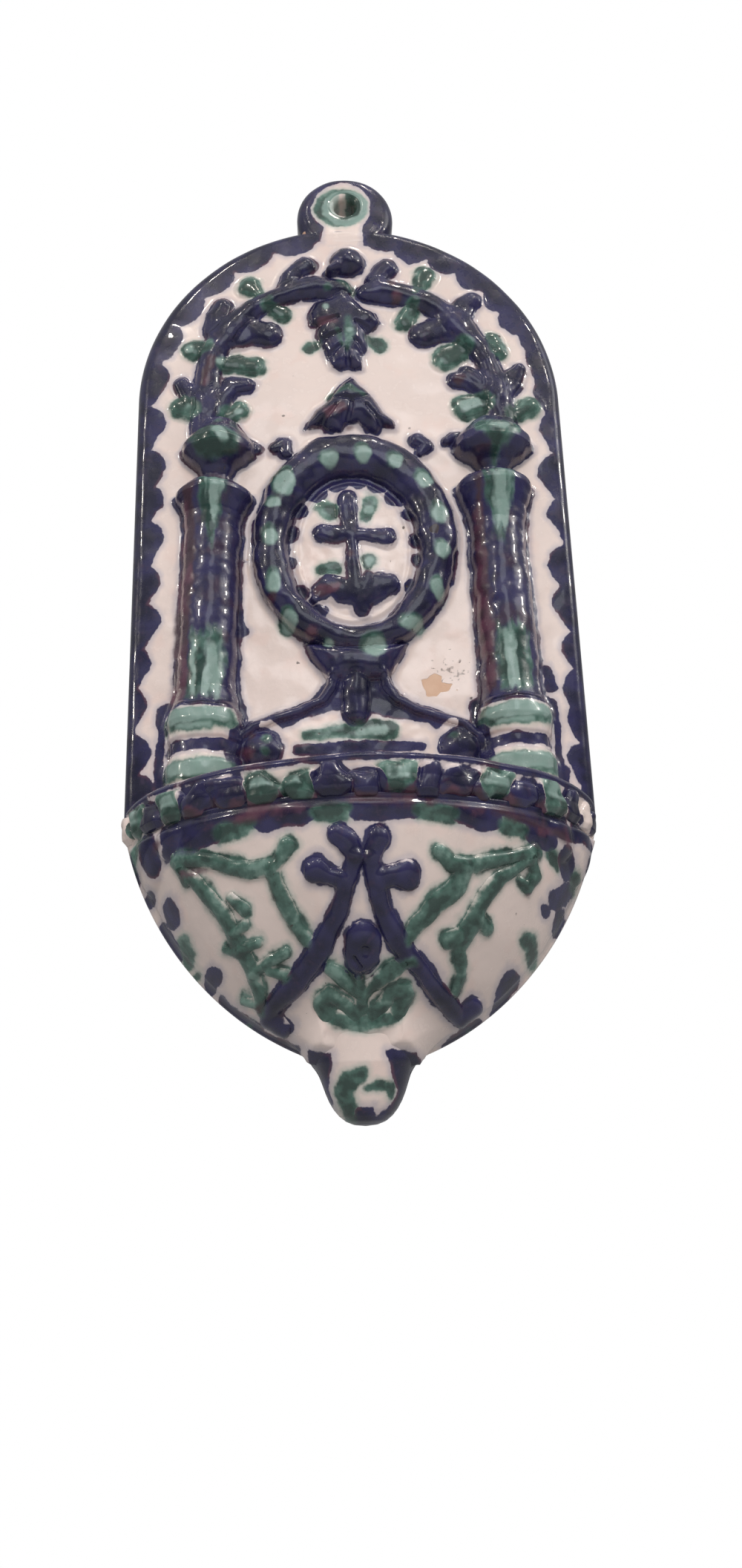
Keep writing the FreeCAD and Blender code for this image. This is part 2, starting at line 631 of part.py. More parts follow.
def make_pedestal():
    knop_sink = 0.3
    knop = mound("knop_mound", 0, f"({ring_foot_z} - {knop_sink} * Sizes.knop_half_height)",
                 "(2 * Sizes.knop_radius)", "(2 * Sizes.knop_half_height)", "Sizes.knop_height")
    keep("ring_knop", knop, ["ring_frame"])

    for side, sign in sides:
        boss = mound(f"{side}_boss_mound", f"({sign} * {boss_x})", boss_z,
                     "(2 * Sizes.boss_radius)", "(2 * Sizes.boss_radius)", "Sizes.boss_height")
        keep(f"{side}_boss", boss)

    # A scroll leaves the neck, sweeps outwards and curls round its boss.
    curl = "(Sizes.boss_radius + Sizes.scroll_radius)"
    sweep_x = "(Sizes.neck_half_width + Sizes.scroll_curve)"
    sweep_z = f"({boss_z} + {curl} + Sizes.scroll_curve)"
    for side, sign in sides:
        sweep = solid("Torus", f"{side}_scroll_sweep",
                      {"Radius1": "Sizes.scroll_curve", "Radius2": "Sizes.scroll_radius"},
                      f"({sign} * {sweep_x})", front_y, sweep_z,
                      FreeCAD.Rotation(FreeCAD.Vector(0, 1, 0), 180 if sign > 0 else 90) * facing_out)
        rail = solid("Cylinder", f"{side}_scroll_rail",
                     {"Radius": "Sizes.scroll_radius", "Height": f"({boss_x} - {sweep_x})"},
                     f"({sign} * {sweep_x})", front_y, f"({boss_z} + {curl})",
                     FreeCAD.Rotation(FreeCAD.Vector(0, 1, 0), sign * 90)
                     * FreeCAD.Rotation(FreeCAD.Vector(0, 0, 1), 180))
        rail.Angle = 180
        round_boss = solid("Torus", f"{side}_scroll_curl",
                           {"Radius1": curl, "Radius2": "Sizes.scroll_radius"},
                           f"({sign} * {boss_x})", front_y, boss_z,
                           FreeCAD.Rotation(FreeCAD.Vector(0, 1, 0), 0 if sign > 0 else -90) * facing_out)
        for bend in (sweep, round_boss):
            bend.Angle1 = -180
            bend.Angle2 = 0
            bend.Angle3 = 90
        keep(f"{side}_scroll", joined(f"{side}_scroll_run", [sweep, rail, round_boss]),
             [f"{side}_boss", f"{side}_column_base", "ring_knop"])

    body = new_body("pedestal_foot_body", 0, front_y, 0)
    sketch = new_sketch(body, "pedestal_outline", "XZ_Plane")
    knop_z = f"({ring_foot_z} - Sizes.knop_half_height)"
    right = [
        (f"({boss_x} + {curl})", base_z),
        (f"({boss_x} + {curl})", boss_z, curl),
        (boss_x, f"({boss_z} + {curl})"),
        (sweep_x, f"({boss_z} + {curl})", "-Sizes.scroll_curve"),
        ("Sizes.neck_half_width", sweep_z),
        ("Sizes.neck_half_width", knop_z),
    ]
    left = mirrored(right)
    draw_outline(sketch, right + left)
    feature(body, "Pad", "pedestal_pad", Profile=sketch, Length="Sizes.foot_height")
    keep("pedestal_foot", body, ["ring_knop", "left_scroll", "right_scroll", "left_boss", "right_boss",
                                 "left_column_base", "right_column_base"])
    drop_z = f"({sweep_z} - Sizes.drop_length / 2 + Sizes.drop_tuck)"
    drop = mound("pedestal_drop_mound", 0, drop_z, "Sizes.drop_length", "Sizes.drop_width",
                 "Sizes.drop_height", 90)
    keep("pedestal_drop", drop, ["ring_knop", "pedestal_foot", "left_scroll", "right_scroll"])


def make_bowl_relief():
    # A skin on the bowl below the rim, from which each motif is cut in the shape of its strokes.
    top = "(Sizes.rim_height + Sizes.relief_clear)"
    tuck = f"({axis_to_front} - Sizes.bowl_tuck)"
    skin = swept_round("relief_skin", [
        (tuck, f"-{bowl_drop(tuck)}", "Sizes.bowl_curve + 0"),
        (bowl_radius(top), f"-{top}"),
        (bowl_radius(top, "Sizes.relief_rise"), f"-{top}", "-(Sizes.bowl_curve + Sizes.relief_rise)"),
        (tuck, f"-{bowl_drop(tuck, 'Sizes.relief_rise')}"),
    ], "Sizes.basin_axis_back", rim_z)
    front = in_front("relief_skin", skin)

    baton, spray, limb = "Sizes.baton_width", "Sizes.spray_width", "Sizes.spray_limb_width"
    # Each stroke is its width and its points: percent of the bowl's half width, then of its depth.
    batons = [(baton, ((4.6, 39.3), (8.5, 53.5), (16.5, 63.7), (26.5, 73.1), (33.6, 81.8))),
              (baton, ((6.7, 28.6), (4.6, 39.3), (15.9, 40.1))),
              (baton, ((31, 84.9), (41.6, 84.9)))]
    upper = [(spray, ((69, 29.9), (46, 36.9), (31.9, 34.6))),
             (limb, ((33.6, 37.7), (22.1, 57.4), (18.6, 62.1)))]
    lower = [(spray, ((62.8, 37.7), (54, 44), (48.7, 52.7), (41.6, 64.5), (38.1, 78.6))),
             (spray, ((48.7, 52.7), (39.8, 48))),
             (spray, ((41.6, 64.5), (31.9, 61.3)))]
    fleur = [(limb, ((-15, 77), (-5.3, 81), (5.3, 81), (15, 77))),
             (spray, ((-12.4, 70), (0, 77), (12.4, 70))),
             (spray, ((-12.4, 85.7), (12.4, 85.7)))]
    # A motif is trimmed by the strokes of those before it, so that they meet along one wall.
    laid = {}
    for side, sign in sides:
        make_motif(front, f"{side}_baton", batons, sign, laid, ["left_baton"] if laid else [])
    boss = [("(2 * Sizes.bowl_boss_radius)", ((0, 62.1),))]
    make_motif(front, "bowl_boss", boss, 1, laid, list(laid))
    for side, sign in sides:
        make_motif(front, f"{side}_upper_spray", upper, sign, laid, [f"{side}_baton"])
        make_motif(front, f"{side}_lower_spray", lower, sign, laid, [f"{side}_baton", f"{side}_upper_spray"])
    make_motif(front, "bowl_fleur", fleur, 1, laid, ["left_baton", "right_baton", "bowl_boss"])


def make_motif(skin, label, strokes, sign, laid, trimmed_by):
    """Cut a motif out of the bowl's skin in the shape of its strokes."""
    bowl_half = "(Sizes.slab_width / 2 - Sizes.basin_inset)"
    prisms = []
    for number, (width, points) in enumerate(strokes, start=1):
        last = None
        for step, (across, down) in enumerate(points, start=1):
            name = f"{label}_{number}_{step}"
            spot = (f"({sign * across / 100} * {bowl_half})", f"({rim_z} - {down / 100} * {bowl_depth})")
            prisms.append(solid("Cylinder", name + "_dab", {"Radius": f"{width} / 2", "Height": basin_reach},
                                spot[0], front_y, spot[1], facing_out))
            if last:
                prisms.append(stroke_bar(name + "_bar", f"({width} - Sizes.stroke_ease)", last, spot))
            last = spot
    shape = joined(label + "_strokes", prisms)
    laid[label] = shape
    if trimmed_by:
        trimmed = doc.addObject("Part::Cut", label + "_trimmed")
        trimmed.Base = shape
        trimmed.Tool = joined(label + "_before", [laid[near] for near in trimmed_by])
        shape = trimmed
    relief = doc.addObject("Part::Common", label + "_relief")
    relief.Base = skin
    relief.Tool = shape
    keep(label, relief, ["drip_finial"] if label == "bowl_fleur" else ())


def stroke_bar(name, width, start, end):
    """The straight stretch of a stroke between two of its points, as a bar through the skin."""
    run = value(end[0]) - value(start[0])
    fall = value(start[1]) - value(end[1])
    turn = FreeCAD.Rotation(FreeCAD.Vector(0, 1, 0), math.degrees(math.atan2(fall, run))) * facing_out
    half = turn.multVec(FreeCAD.Vector(0, 0.5, 0))
    return solid("Box", name, {"Length": math.hypot(run, fall), "Width": width, "Height": basin_reach},
                 f"({start[0]} - {width} * {half.x})", front_y,
                 f"({start[1]} - {width} * {half.z})", turn)


make_slab()
make_lug()
make_basin()
make_rim()
make_finial()
make_columns()
make_garland()
make_ring()
make_crown_pieces()
make_pedestal()
make_bowl_relief()
doc.recompute()

failed = [item.Name for item in doc.Objects if "Invalid" in item.State or "Error" in item.State]
for label, item in parts.items():
    if item.Shape.isNull() or not item.Shape.isValid() or not item.Shape.Solids:
        failed.append(label)
if failed:
    raise RuntimeError("these did not build: " + ", ".join(failed))

os.makedirs("parts", exist_ok=True)
for label, item in parts.items():
    item.Shape.exportStep(f"parts/{label}.step")
    print(f"{label}: {len(item.Shape.Solids)} solid, {item.Shape.Volume / 1000:.2f} cm3")
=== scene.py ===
from math import atan2, cos, dist, hypot, pi, radians, sin, sqrt
import bpy
import numpy as np
from mathutils import Matrix


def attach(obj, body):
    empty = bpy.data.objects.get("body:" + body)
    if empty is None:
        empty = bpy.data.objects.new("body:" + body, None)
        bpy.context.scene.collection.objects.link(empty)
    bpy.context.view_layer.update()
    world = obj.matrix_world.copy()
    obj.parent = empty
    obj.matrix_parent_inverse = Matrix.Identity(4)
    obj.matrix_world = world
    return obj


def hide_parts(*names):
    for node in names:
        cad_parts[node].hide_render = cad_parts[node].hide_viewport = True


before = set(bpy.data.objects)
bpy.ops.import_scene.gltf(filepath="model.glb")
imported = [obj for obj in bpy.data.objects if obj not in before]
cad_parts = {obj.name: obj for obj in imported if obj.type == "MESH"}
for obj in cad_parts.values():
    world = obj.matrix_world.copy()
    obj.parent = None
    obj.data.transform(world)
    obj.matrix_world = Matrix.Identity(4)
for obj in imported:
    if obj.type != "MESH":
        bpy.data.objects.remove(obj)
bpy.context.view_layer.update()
print("frame loaded")

# Lengths are millimetres on the maker's drawing: x to the right, z up, y towards the wall.
mm = 0.001
cell = 0.3          # spacing of the relief boards
margin = 3.0        # room kept round a stroke
farAway = -9.0      # depth of a spot that no stroke reaches
flankFall = 1.2     # how steeply a stroke's side falls away
holeMiddle = 2.0    # height of the hanging hole's middle; the model's zero is there
pigments = ("cobalt", "copper", "mint", "brown", "clay", "fleck")


def unit(value):
    # Held between 0 and 1.
    return np.clip(value, 0, 1)


def points(text):
    # "x z radius, x z radius" as rows of numbers.
    return [tuple(map(float, spot.split())) for spot in text.split(",")]


def strokes(text):
    # "colour path; path; colour path": a path without a colour keeps the one before it.
    found = []
    for run in text.split(";"):
        word = run.split()[0]
        if word.isalpha():
            colour = word
            run = run.replace(word, "")
        found.append((colour, points(run)))
    return found


plate = {"halfWidth": 59.0, "front": 9.0, "archZ": -65.0, "shoulderZ": -188.0, "footZ": -249.5,
         "footCurve": 80.0, "roll": 3.2, "backRound": 0.7, "step": 0.55}
bowl = {"axis": 12.0, "curve": 84.3, "centre": -21.854, "centreZ": -174.5, "wall": 5.0, "floorZ": -236.0,
        "floorBend": 3.0, "topZ": -192.6, "tipZ": -247.1, "halfTurn": 20.4}
drip = {"x": -1.0, "y": -12.5, "root": 11.4, "rootZ": -238, "fillet": 9.0, "blend": 8.0,
        "steps": 110, "sides": 180,
        "outline": points("""0.2 -237.5, 8 -237.5, 11.4 -238, 11.8 -241, 11.7 -244, 11.4 -247, 10.6 -249.4,
            9.9 -251.4, 9.2 -253.4, 8.4 -255.3, 7.4 -257, 6.2 -258.4, 4.6 -259.6, 2.6 -260.35, 0.2 -260.6""")}


class Wire:
    # One output socket of a material. Sums and products of values add their Math nodes.
    def __init__(self, tree, socket=None):
        self.tree = tree
        self.socket = socket

    def maths(self, operation, first, second):
        return self.node("Math", {"operation": operation}, {0: first, 1: second})

    def __add__(self, other):
        return self.maths("ADD", self, other)

    def __sub__(self, other):
        return self.maths("SUBTRACT", self, other)

    def __mul__(self, other):
        return self.maths("MULTIPLY", self, other)

    def __radd__(self, other):
        return self.maths("ADD", other, self)

    def __rsub__(self, other):
        return self.maths("SUBTRACT", other, self)

    def __rmul__(self, other):
        return self.maths("MULTIPLY", other, self)

    def node(self, kind, settings=None, sockets=None, out=0):
        made = self.tree.nodes.new("ShaderNode" + kind)
        for name, value in (settings or {}).items():
            setattr(made, name, value)
        for key, value in (sockets or {}).items():
            if isinstance(value, Wire):
                self.tree.links.new(value.socket, made.inputs[key])
            else:
                made.inputs[key].default_value = value
        return Wire(self.tree, made.outputs[out])


def lumps(a, b, size, seed):
    # Smooth random hills from -1 to 1, about as wide as size.
    table = np.random.default_rng(seed).random((64, 64))
    u, v = a / size, b / size
    i, j = np.floor(u).astype(int), np.floor(v).astype(int)
    fu, fv = u - i, v - j
    fu, fv = fu * fu * (3 - 2 * fu), fv * fv * (3 - 2 * fv)
    low = table[i % 64, j % 64] * (1 - fu) + table[(i + 1) % 64, j % 64] * fu
    high = table[i % 64, (j + 1) % 64] * (1 - fu) + table[(i + 1) % 64, (j + 1) % 64] * fu
    return (low * (1 - fv) + high * fv) * 2 - 1


def smoothMax(a, b, soft):
    # The larger of two heights, with a fillet of slip where they cross.
    blend = np.clip(soft - np.abs(a - b), 0, None) / soft
    return np.maximum(a, b) + blend * blend * soft / 4


def newBoard(left, right, low, high, seed):
    # A drawing board in front of the stoup: heights and paint are laid on it in millimetres.
    x, z = np.meshgrid(np.arange(left, right, cell), np.arange(low, high, cell))
    board = {"left": left, "low": low, "x": x, "z": z, "height": {}}
    # How far the tool and the brush stray from the drawing, in slow and in quick waves.
    for key, shift, slow, slowSize, quick, quickSize in (("claySpot", 0, 0.35, 5, 0.15, 2),
                                                         ("brushSpot", 4, 0.45, 3.5, 0.2, 1.3)):
        board[key] = []
        for level, number in ((x, seed + shift), (z, seed + shift + 2)):
            waves = level + slow * lumps(x, z, slowSize, number)
            board[key].append(waves + quick * lumps(x, z, quickSize, number + 1))
    board["paint"] = {name: np.full(x.shape, farAway) for name in pigments}
    return board


def window(board, xs, zs, aside, above):
    # The part of the board round these coordinates.
    rows, cols = board["x"].shape
    edges = [int((min(xs) - aside - board["left"]) / cell), int((max(xs) + aside - board["left"]) / cell) + 2,
             int((min(zs) - above - board["low"]) / cell), int((max(zs) + above - board["low"]) / cell) + 2]
    left, right, low, high = (min(max(edge, 0), most) for edge, most in zip(edges, (cols, cols, rows, rows)))
    return slice(low, high), slice(left, right)


def nearRun(x, z, start, end):
    # How far along a straight run each spot lies, from 0 to 1, and how far off it.
    run = (end[0] - start[0], end[1] - start[1])
    along = unit(((x - start[0]) * run[0] + (z - start[1]) * run[1]) / max(run[0]**2 + run[1]**2, 1e-6))
    return along, np.hypot(x - start[0] - along * run[0], z - start[1] - along * run[1])


def runDepth(board, spots, path):
    # Depth in from the edge of a run of round dabs (x, z, radius), and the share out from its middle.
    xs, zs = ([spot[axis] + way * spot[2] for spot in path for way in (-1, 1)] for axis in (0, 1))
    part = window(board, xs, zs, margin, margin)
    x, z = board[spots][0][part], board[spots][1][part]
    depth, share = np.full(x.shape, farAway), np.full(x.shape, 9.0)
    for start, end in zip(path, path[1:] or path):
        along, off = nearRun(x, z, start, end)
        radius = start[2] + along * (end[2] - start[2])
        better = radius - off > depth
        depth = np.where(better, radius - off, depth)
        share = np.where(better, off / radius, share)
    return part, depth, share


def rounded(depth, share, rise, power=2.0):
    # The height of a rounded stroke: a crown inside, a falling flank outside.
    inside = rise * np.power(1 - np.power(np.minimum(share, 1), power), 1 / power)
    return np.where(share < 1, inside, depth * flankFall)


def addHeight(board, node, height, part=slice(None), soft=1.6):
    field = board["height"].setdefault(node, np.full(board["x"].shape, farAway))
    field[part] = smoothMax(field[part], height, soft)


def carve(board, node, deep, text):
    # Creases pressed into a member with a tool.
    for path in text.split(";"):
        part, depth, share = runDepth(board, "claySpot", points(path))
        board["height"][node][part] -= deep * unit(1 - share**2)


def addPaint(board, colour, depth, part=slice(None)):
    field = board["paint"][colour]
    field[part] = np.maximum(field[part], depth)


def dab(board, colour, path):
    part, depth, share = runDepth(board, "brushSpot", path)
    addPaint(board, colour, depth, part)


def brush(board, text, aside=0.0):
    # Brush strokes, written as in strokes, moved aside.
    for colour, path in strokes(text):
        dab(board, colour, [(x + aside, z, r) for x, z, r in path])


def stroke(board, node, rise, path, colour, grow):
    # One modelled stroke of slip, with its paint.
    part, depth, share = runDepth(board, "claySpot", path)
    addHeight(board, node, rounded(depth, share, rise), part)
    dab(board, colour, [(x, z, r + grow) for x, z, r in path])


def streaked(board, colour, seed, frayed, run):
    # A brushed patch on an upright member: its run is (x, z, half width) from the foot up, its ends fray.
    xs, zs, widths = zip(*run)
    part = window(board, xs, zs, 8, 3)
    x, z = board["brushSpot"][0][part], board["brushSpot"][1][part]
    depth = np.interp(z, zs, widths) - np.abs(x - np.interp(z, zs, xs))
    ends = np.minimum(z - zs[0], zs[-1] - z) * 0.4
    addPaint(board, colour, np.minimum(depth, ends) + frayed * lumps(x, z / 9, 0.9, seed), part)


def turnedHeight(board, node, middle, profile, grow=None):
    # A half-turned upright member: middle is its x at each end, profile its (z, radius) from the foot up.
    zs, radii = zip(*profile)
    part = window(board, middle, zs, max(radii) + 4, 3)
    x, z = board["claySpot"][0][part], board["claySpot"][1][part]
    radius = np.interp(z, zs, radii)
    off = np.abs(x - np.interp(z, [zs[0], zs[-1]], middle))
    beyond = np.maximum(np.maximum(zs[0] - z, z - zs[-1]), 0)
    share = off / radius
    height = np.where(share < 1, radius * np.sqrt(1 - np.minimum(share, 1)**2), (radius - off) * flankFall)
    addHeight(board, node, height - beyond * 4, part, 0.6)
    if grow:
        addPaint(board, "cobalt", np.minimum(radius + grow - off, 0.6 - beyond), part)


def ovalDepth(x, z, across, level, halfWidth, halfHeight):
    # Distance inside an oval, along the line to its middle.
    x, z = x - across, z - level
    away = np.hypot(x, z) + 1e-6
    scale = np.hypot(x / halfWidth, z / halfHeight) + 1e-6
    return (1 - scale) * away / scale


def polygonDepth(spots, corners):
    # Signed distance inside a closed outline of straight edges.
    x, z = spots
    far = np.full(x.shape, 1e6)
    inside = np.zeros(x.shape, bool)
    for start, end in zip(corners, corners[1:] + corners[:1]):
        far = np.minimum(far, nearRun(x, z, start, end)[1])
        slope = (end[0] - start[0]) * (z - start[1]) / (end[1] - start[1] + 1e-9)
        inside ^= ((start[1] > z) != (end[1] > z)) & (x < slope + start[0])
    return np.where(inside, far, -far)


def outlined(board, spots, corners, blur=0):
    # The part of the board round an outline, and the depth inside it.
    xs, zs = zip(*corners)
    part = window(board, xs, zs, margin, margin)
    depth = polygonDepth([field[part] for field in board[spots]], corners)
    return part, blurred(depth, blur) if blur else depth


def addFlat(board, node, rise, edge, part, depth):
    # A flat piece of clay with a rounded edge.
    flank = 1 - unit(depth / edge)
    addHeight(board, node, np.where(depth > 0, rise * np.sqrt(1 - flank * flank), depth * flankFall), part)


def paintShape(board, colour, corners, grow):
    part, depth = outlined(board, "brushSpot", corners, 1)
    addPaint(board, colour, depth + grow, part)


def pressedShape(board, node, rise, edge, corners, grow=0.3):
    # A flat leaf cut to an outline, and its blue paint.
    addFlat(board, node, rise, edge, *outlined(board, "claySpot", corners, 2))
    paintShape(board, "cobalt", corners, grow)


def blurred(field, cells):
    # A running mean over a square of cells, along both ways of the board.
    for axis in (0, 1):
        padded = np.concatenate([np.repeat(field.take([0], axis), cells, axis), field,
                                 np.repeat(field.take([-1], axis), cells, axis)], axis)
        total = np.cumsum(padded, axis)
        size = field.shape[axis]
        ahead = total.take(range(2 * cells, 2 * cells + size), axis)
        field = (ahead - total.take(range(0, size), axis)) / (2 * cells)
    return field


def pushedUnder(over):
    # How far a surface gives way where another one lies over it.
    return np.clip(over - 0.25, 0, None) * 0.9


def finishBoard(board, soft, threshold, seed):
    # The whole surface, and which member owns each spot of it.
    x, z = board["x"], board["z"]
    surface = np.zeros(x.shape) + board.get("swell", 0)
    first, second = np.full(x.shape, threshold), np.full(x.shape, farAway)
    for height in board["height"].values():
        surface = smoothMax(surface, height, soft)
        second = np.maximum(np.minimum(first, height), second)
        first = np.maximum(first, height)
    surface = surface + 0.25 * lumps(x, z, 13, seed) + 0.12 * lumps(x, z, 5, seed + 1)
    raised = np.clip(first, 0.3, 1.5)
    surface = surface + raised * (0.07 * lumps(x, z, 2.8, seed + 2) + 0.02 * lumps(x, z, 1.3, seed + 3))
    board.update(surface=surface, first=first, second=second, rise=surface - blurred(surface, 5),
                 ground=surface - pushedUnder(first - threshold))


def readBoard(board, field, x, z):
    # A field's value at any spot, straight between the board's points.
    rows, cols = field.shape
    u = np.clip((x - board["left"]) / cell, 0, cols - 1.001)
    v = np.clip((z - board["low"]) / cell, 0, rows - 1.001)
    i, j = u.astype(int), v.astype(int)
    fu, fv = u - i, v - j
    low = field[j, i] * (1 - fu) + field[j, i + 1] * fu
    high = field[j + 1, i] * (1 - fu) + field[j + 1, i + 1] * fu
    return low * (1 - fv) + high * fv


def paintAt(board, x, z):
    found = {name: readBoard(board, field, x, z) for name, field in board["paint"].items()}
    found["rise"] = readBoard(board, board["rise"], x, z)
    return found


def noPaint(count):
    return {name: np.full(count, farAway) for name in pigments} | {"rise": np.zeros(count)}


def joinPaint(*parts):
    return {name: np.concatenate([np.ravel(part[name]) for part in parts]) for name in parts[0]}


def weld(spots, faces, paint):
    # Merges points that coincide and turns folded quads into triangles.
    key = np.round(spots / 0.004).astype(np.int64)
    _, first, where = np.unique(key, axis=0, return_index=True, return_inverse=True)
    faces = where.reshape(-1)[faces]
    ordered = np.sort(faces, axis=1)
    folded = (np.diff(ordered, axis=1) == 0).any(axis=1)
    kept = [list(face) for face in faces[~folded]]
    for face in faces[folded]:
        corners = [v for n, v in enumerate(face) if v != face[n - 1]]
        if len(corners) == 3:
            kept.append(corners)
    return spots[first], kept, {name: values[first] for name, values in paint.items()}


def makePiece(name, spots, faces, paint, material, slotName, *nodes):
    mesh = bpy.data.meshes.new(name)
    spots = (np.asarray(spots) - (0, 0, holeMiddle)) * mm
    mesh.from_pydata(spots.tolist(), [], [list(map(int, face)) for face in faces])
    mesh.update()
    for key, values in paint.items():
        layer = mesh.attributes.new(key, "FLOAT", "POINT")
        layer.data.foreach_set("value", np.clip(np.asarray(values, dtype=np.float32), -3, 3))
    mesh.polygons.foreach_set("use_smooth", np.ones(len(mesh.polygons), bool))
    mesh.materials.append(material)
    piece = bpy.data.objects.new(name, mesh)
    bpy.context.scene.collection.objects.link(piece)
    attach(piece, "root")
    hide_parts(*nodes)
    return piece


def fourCorners(field):
    # The corners of every cell of a grid, in turn round it.
    return field[:-1, :-1], field[:-1, 1:], field[1:, 1:], field[1:, :-1]


def gridFaces(rows, cols, wrapCols=False, wrapRows=False):
    index = np.arange(rows * cols).reshape(rows, cols)
    if wrapCols:
        index = np.concatenate([index, index[:, :1]], axis=1)
    if wrapRows:
        index = np.concatenate([index, index[:1]], axis=0)
    return np.stack(fourCorners(index), -1).reshape(-1, 4)


def reliefPiece(board, node, place, material, slotName, floor):
    # One raised member as a closed solid: its crown is the common surface, its skirt is buried.
    height = board["height"][node]
    rival = np.where(board["first"] > height + 1e-9, board["first"], board["second"])
    crown = board["surface"] - pushedUnder(rival - height)
    use = (height > -1.1) & (crown > floor + 0.2) & board.get("room", np.ones(height.shape, bool))
    full = np.logical_and.reduce(fourCorners(use))
    padded = np.pad(full, 1)
    corner = np.logical_or.reduce(fourCorners(padded))
    count = int(corner.sum())
    index = np.full(use.shape, -1)
    index[corner] = np.arange(count)
    x, z = board["x"][corner], board["z"][corner]
    spots = np.concatenate([place(x, z, crown[corner]), place(x, z, np.full(count, floor))])
    a, b, c, d = fourCorners(index)
    top = np.stack([a, b, c, d], -1)[full]
    faces = [top, top[:, ::-1] + count]
    for down, across, begin, end in ((0, 1, a, b), (2, 1, c, d), (1, 0, d, a), (1, 2, b, c)):
        edge = full & ~padded[down:down + full.shape[0], across:across + full.shape[1]]
        p, q = begin[edge], end[edge]
        faces.append(np.stack([q, p, p + count, q + count], 1))
    paint = paintAt(board, x, z)
    return makePiece(node + "_glazed", spots, np.concatenate(faces), joinPaint(paint, paint),
                     material, slotName, node)


# The plate's front: relief and paint in x and z.
front = newBoard(-64, 64, -200, 14, 11)

# A column: its x at the foot and the top, its bulb's x, and its parts as "z radius" from the foot up.
baseProfile = points("""-181 9.2, -179 9.9, -174.5 10, -172.6 9.5, -171.9 8.9, -168.2 8.9, -167.4 9.5,
    -163 10.1, -160 9.6""")
columns = {
    "left": {"middle": (-38.8, -37.2), "bulb": -35.6, "baseTop": (-158.6, 8.4),
             "shaft": """-159.5 8.9, -157.4 8.5, -154 7.7, -118 7.4, -108 7.6, -103.4 8.2, -100.4 9.4,
                 -98.4 10.3, -97 10.3, -95.8 9.4, -94.8 6.2, -93.6 4.2""",
             "capital": """-95 3.9, -91 3.9, -89 5, -86.8 7.8, -84.6 10, -82.6 10.2, -80 8.9, -77.6 6.9,
                 -75.6 5.2, -74 4.4"""},
    "right": {"middle": (39.6, 38.2), "bulb": 38.9, "baseTop": (-158.4, 8.4),
              "shaft": """-159.5 8.9, -157.4 8.5, -154 7.8, -118 7.5, -107 7.7, -102.5 8.4, -99.4 9.5,
                  -97 10.4, -95.4 10.4, -94.2 9.4, -93.2 6, -92 4.2""",
              "capital": """-93.6 4, -90 4.1, -88.2 5.6, -86 8.8, -83.8 10.8, -81.4 10.8, -78.6 9, -76 6.6,
                  -74.4 4.8"""}}
for side, column in columns.items():
    foot, top = column["middle"]
    turnedHeight(front, f"{side}_column_base", (foot, foot), baseProfile + [column["baseTop"]])
    turnedHeight(front, f"{side}_column_shaft", (foot, top), points(column["shaft"]), 0.9)
    turnedHeight(front, f"{side}_capital", (top, column["bulb"]), points(column["capital"]), 0.6)
stroke(front, "right_capital", 2.2, points("31 -79.2 2, 28 -79.2 1.7, 26.4 -80 1.4"), "cobalt", 0.35)
stroke(front, "left_capital", 2.0, points("-30 -80.8 2.6, -26.4 -82.2 2"), "cobalt", 0.35)

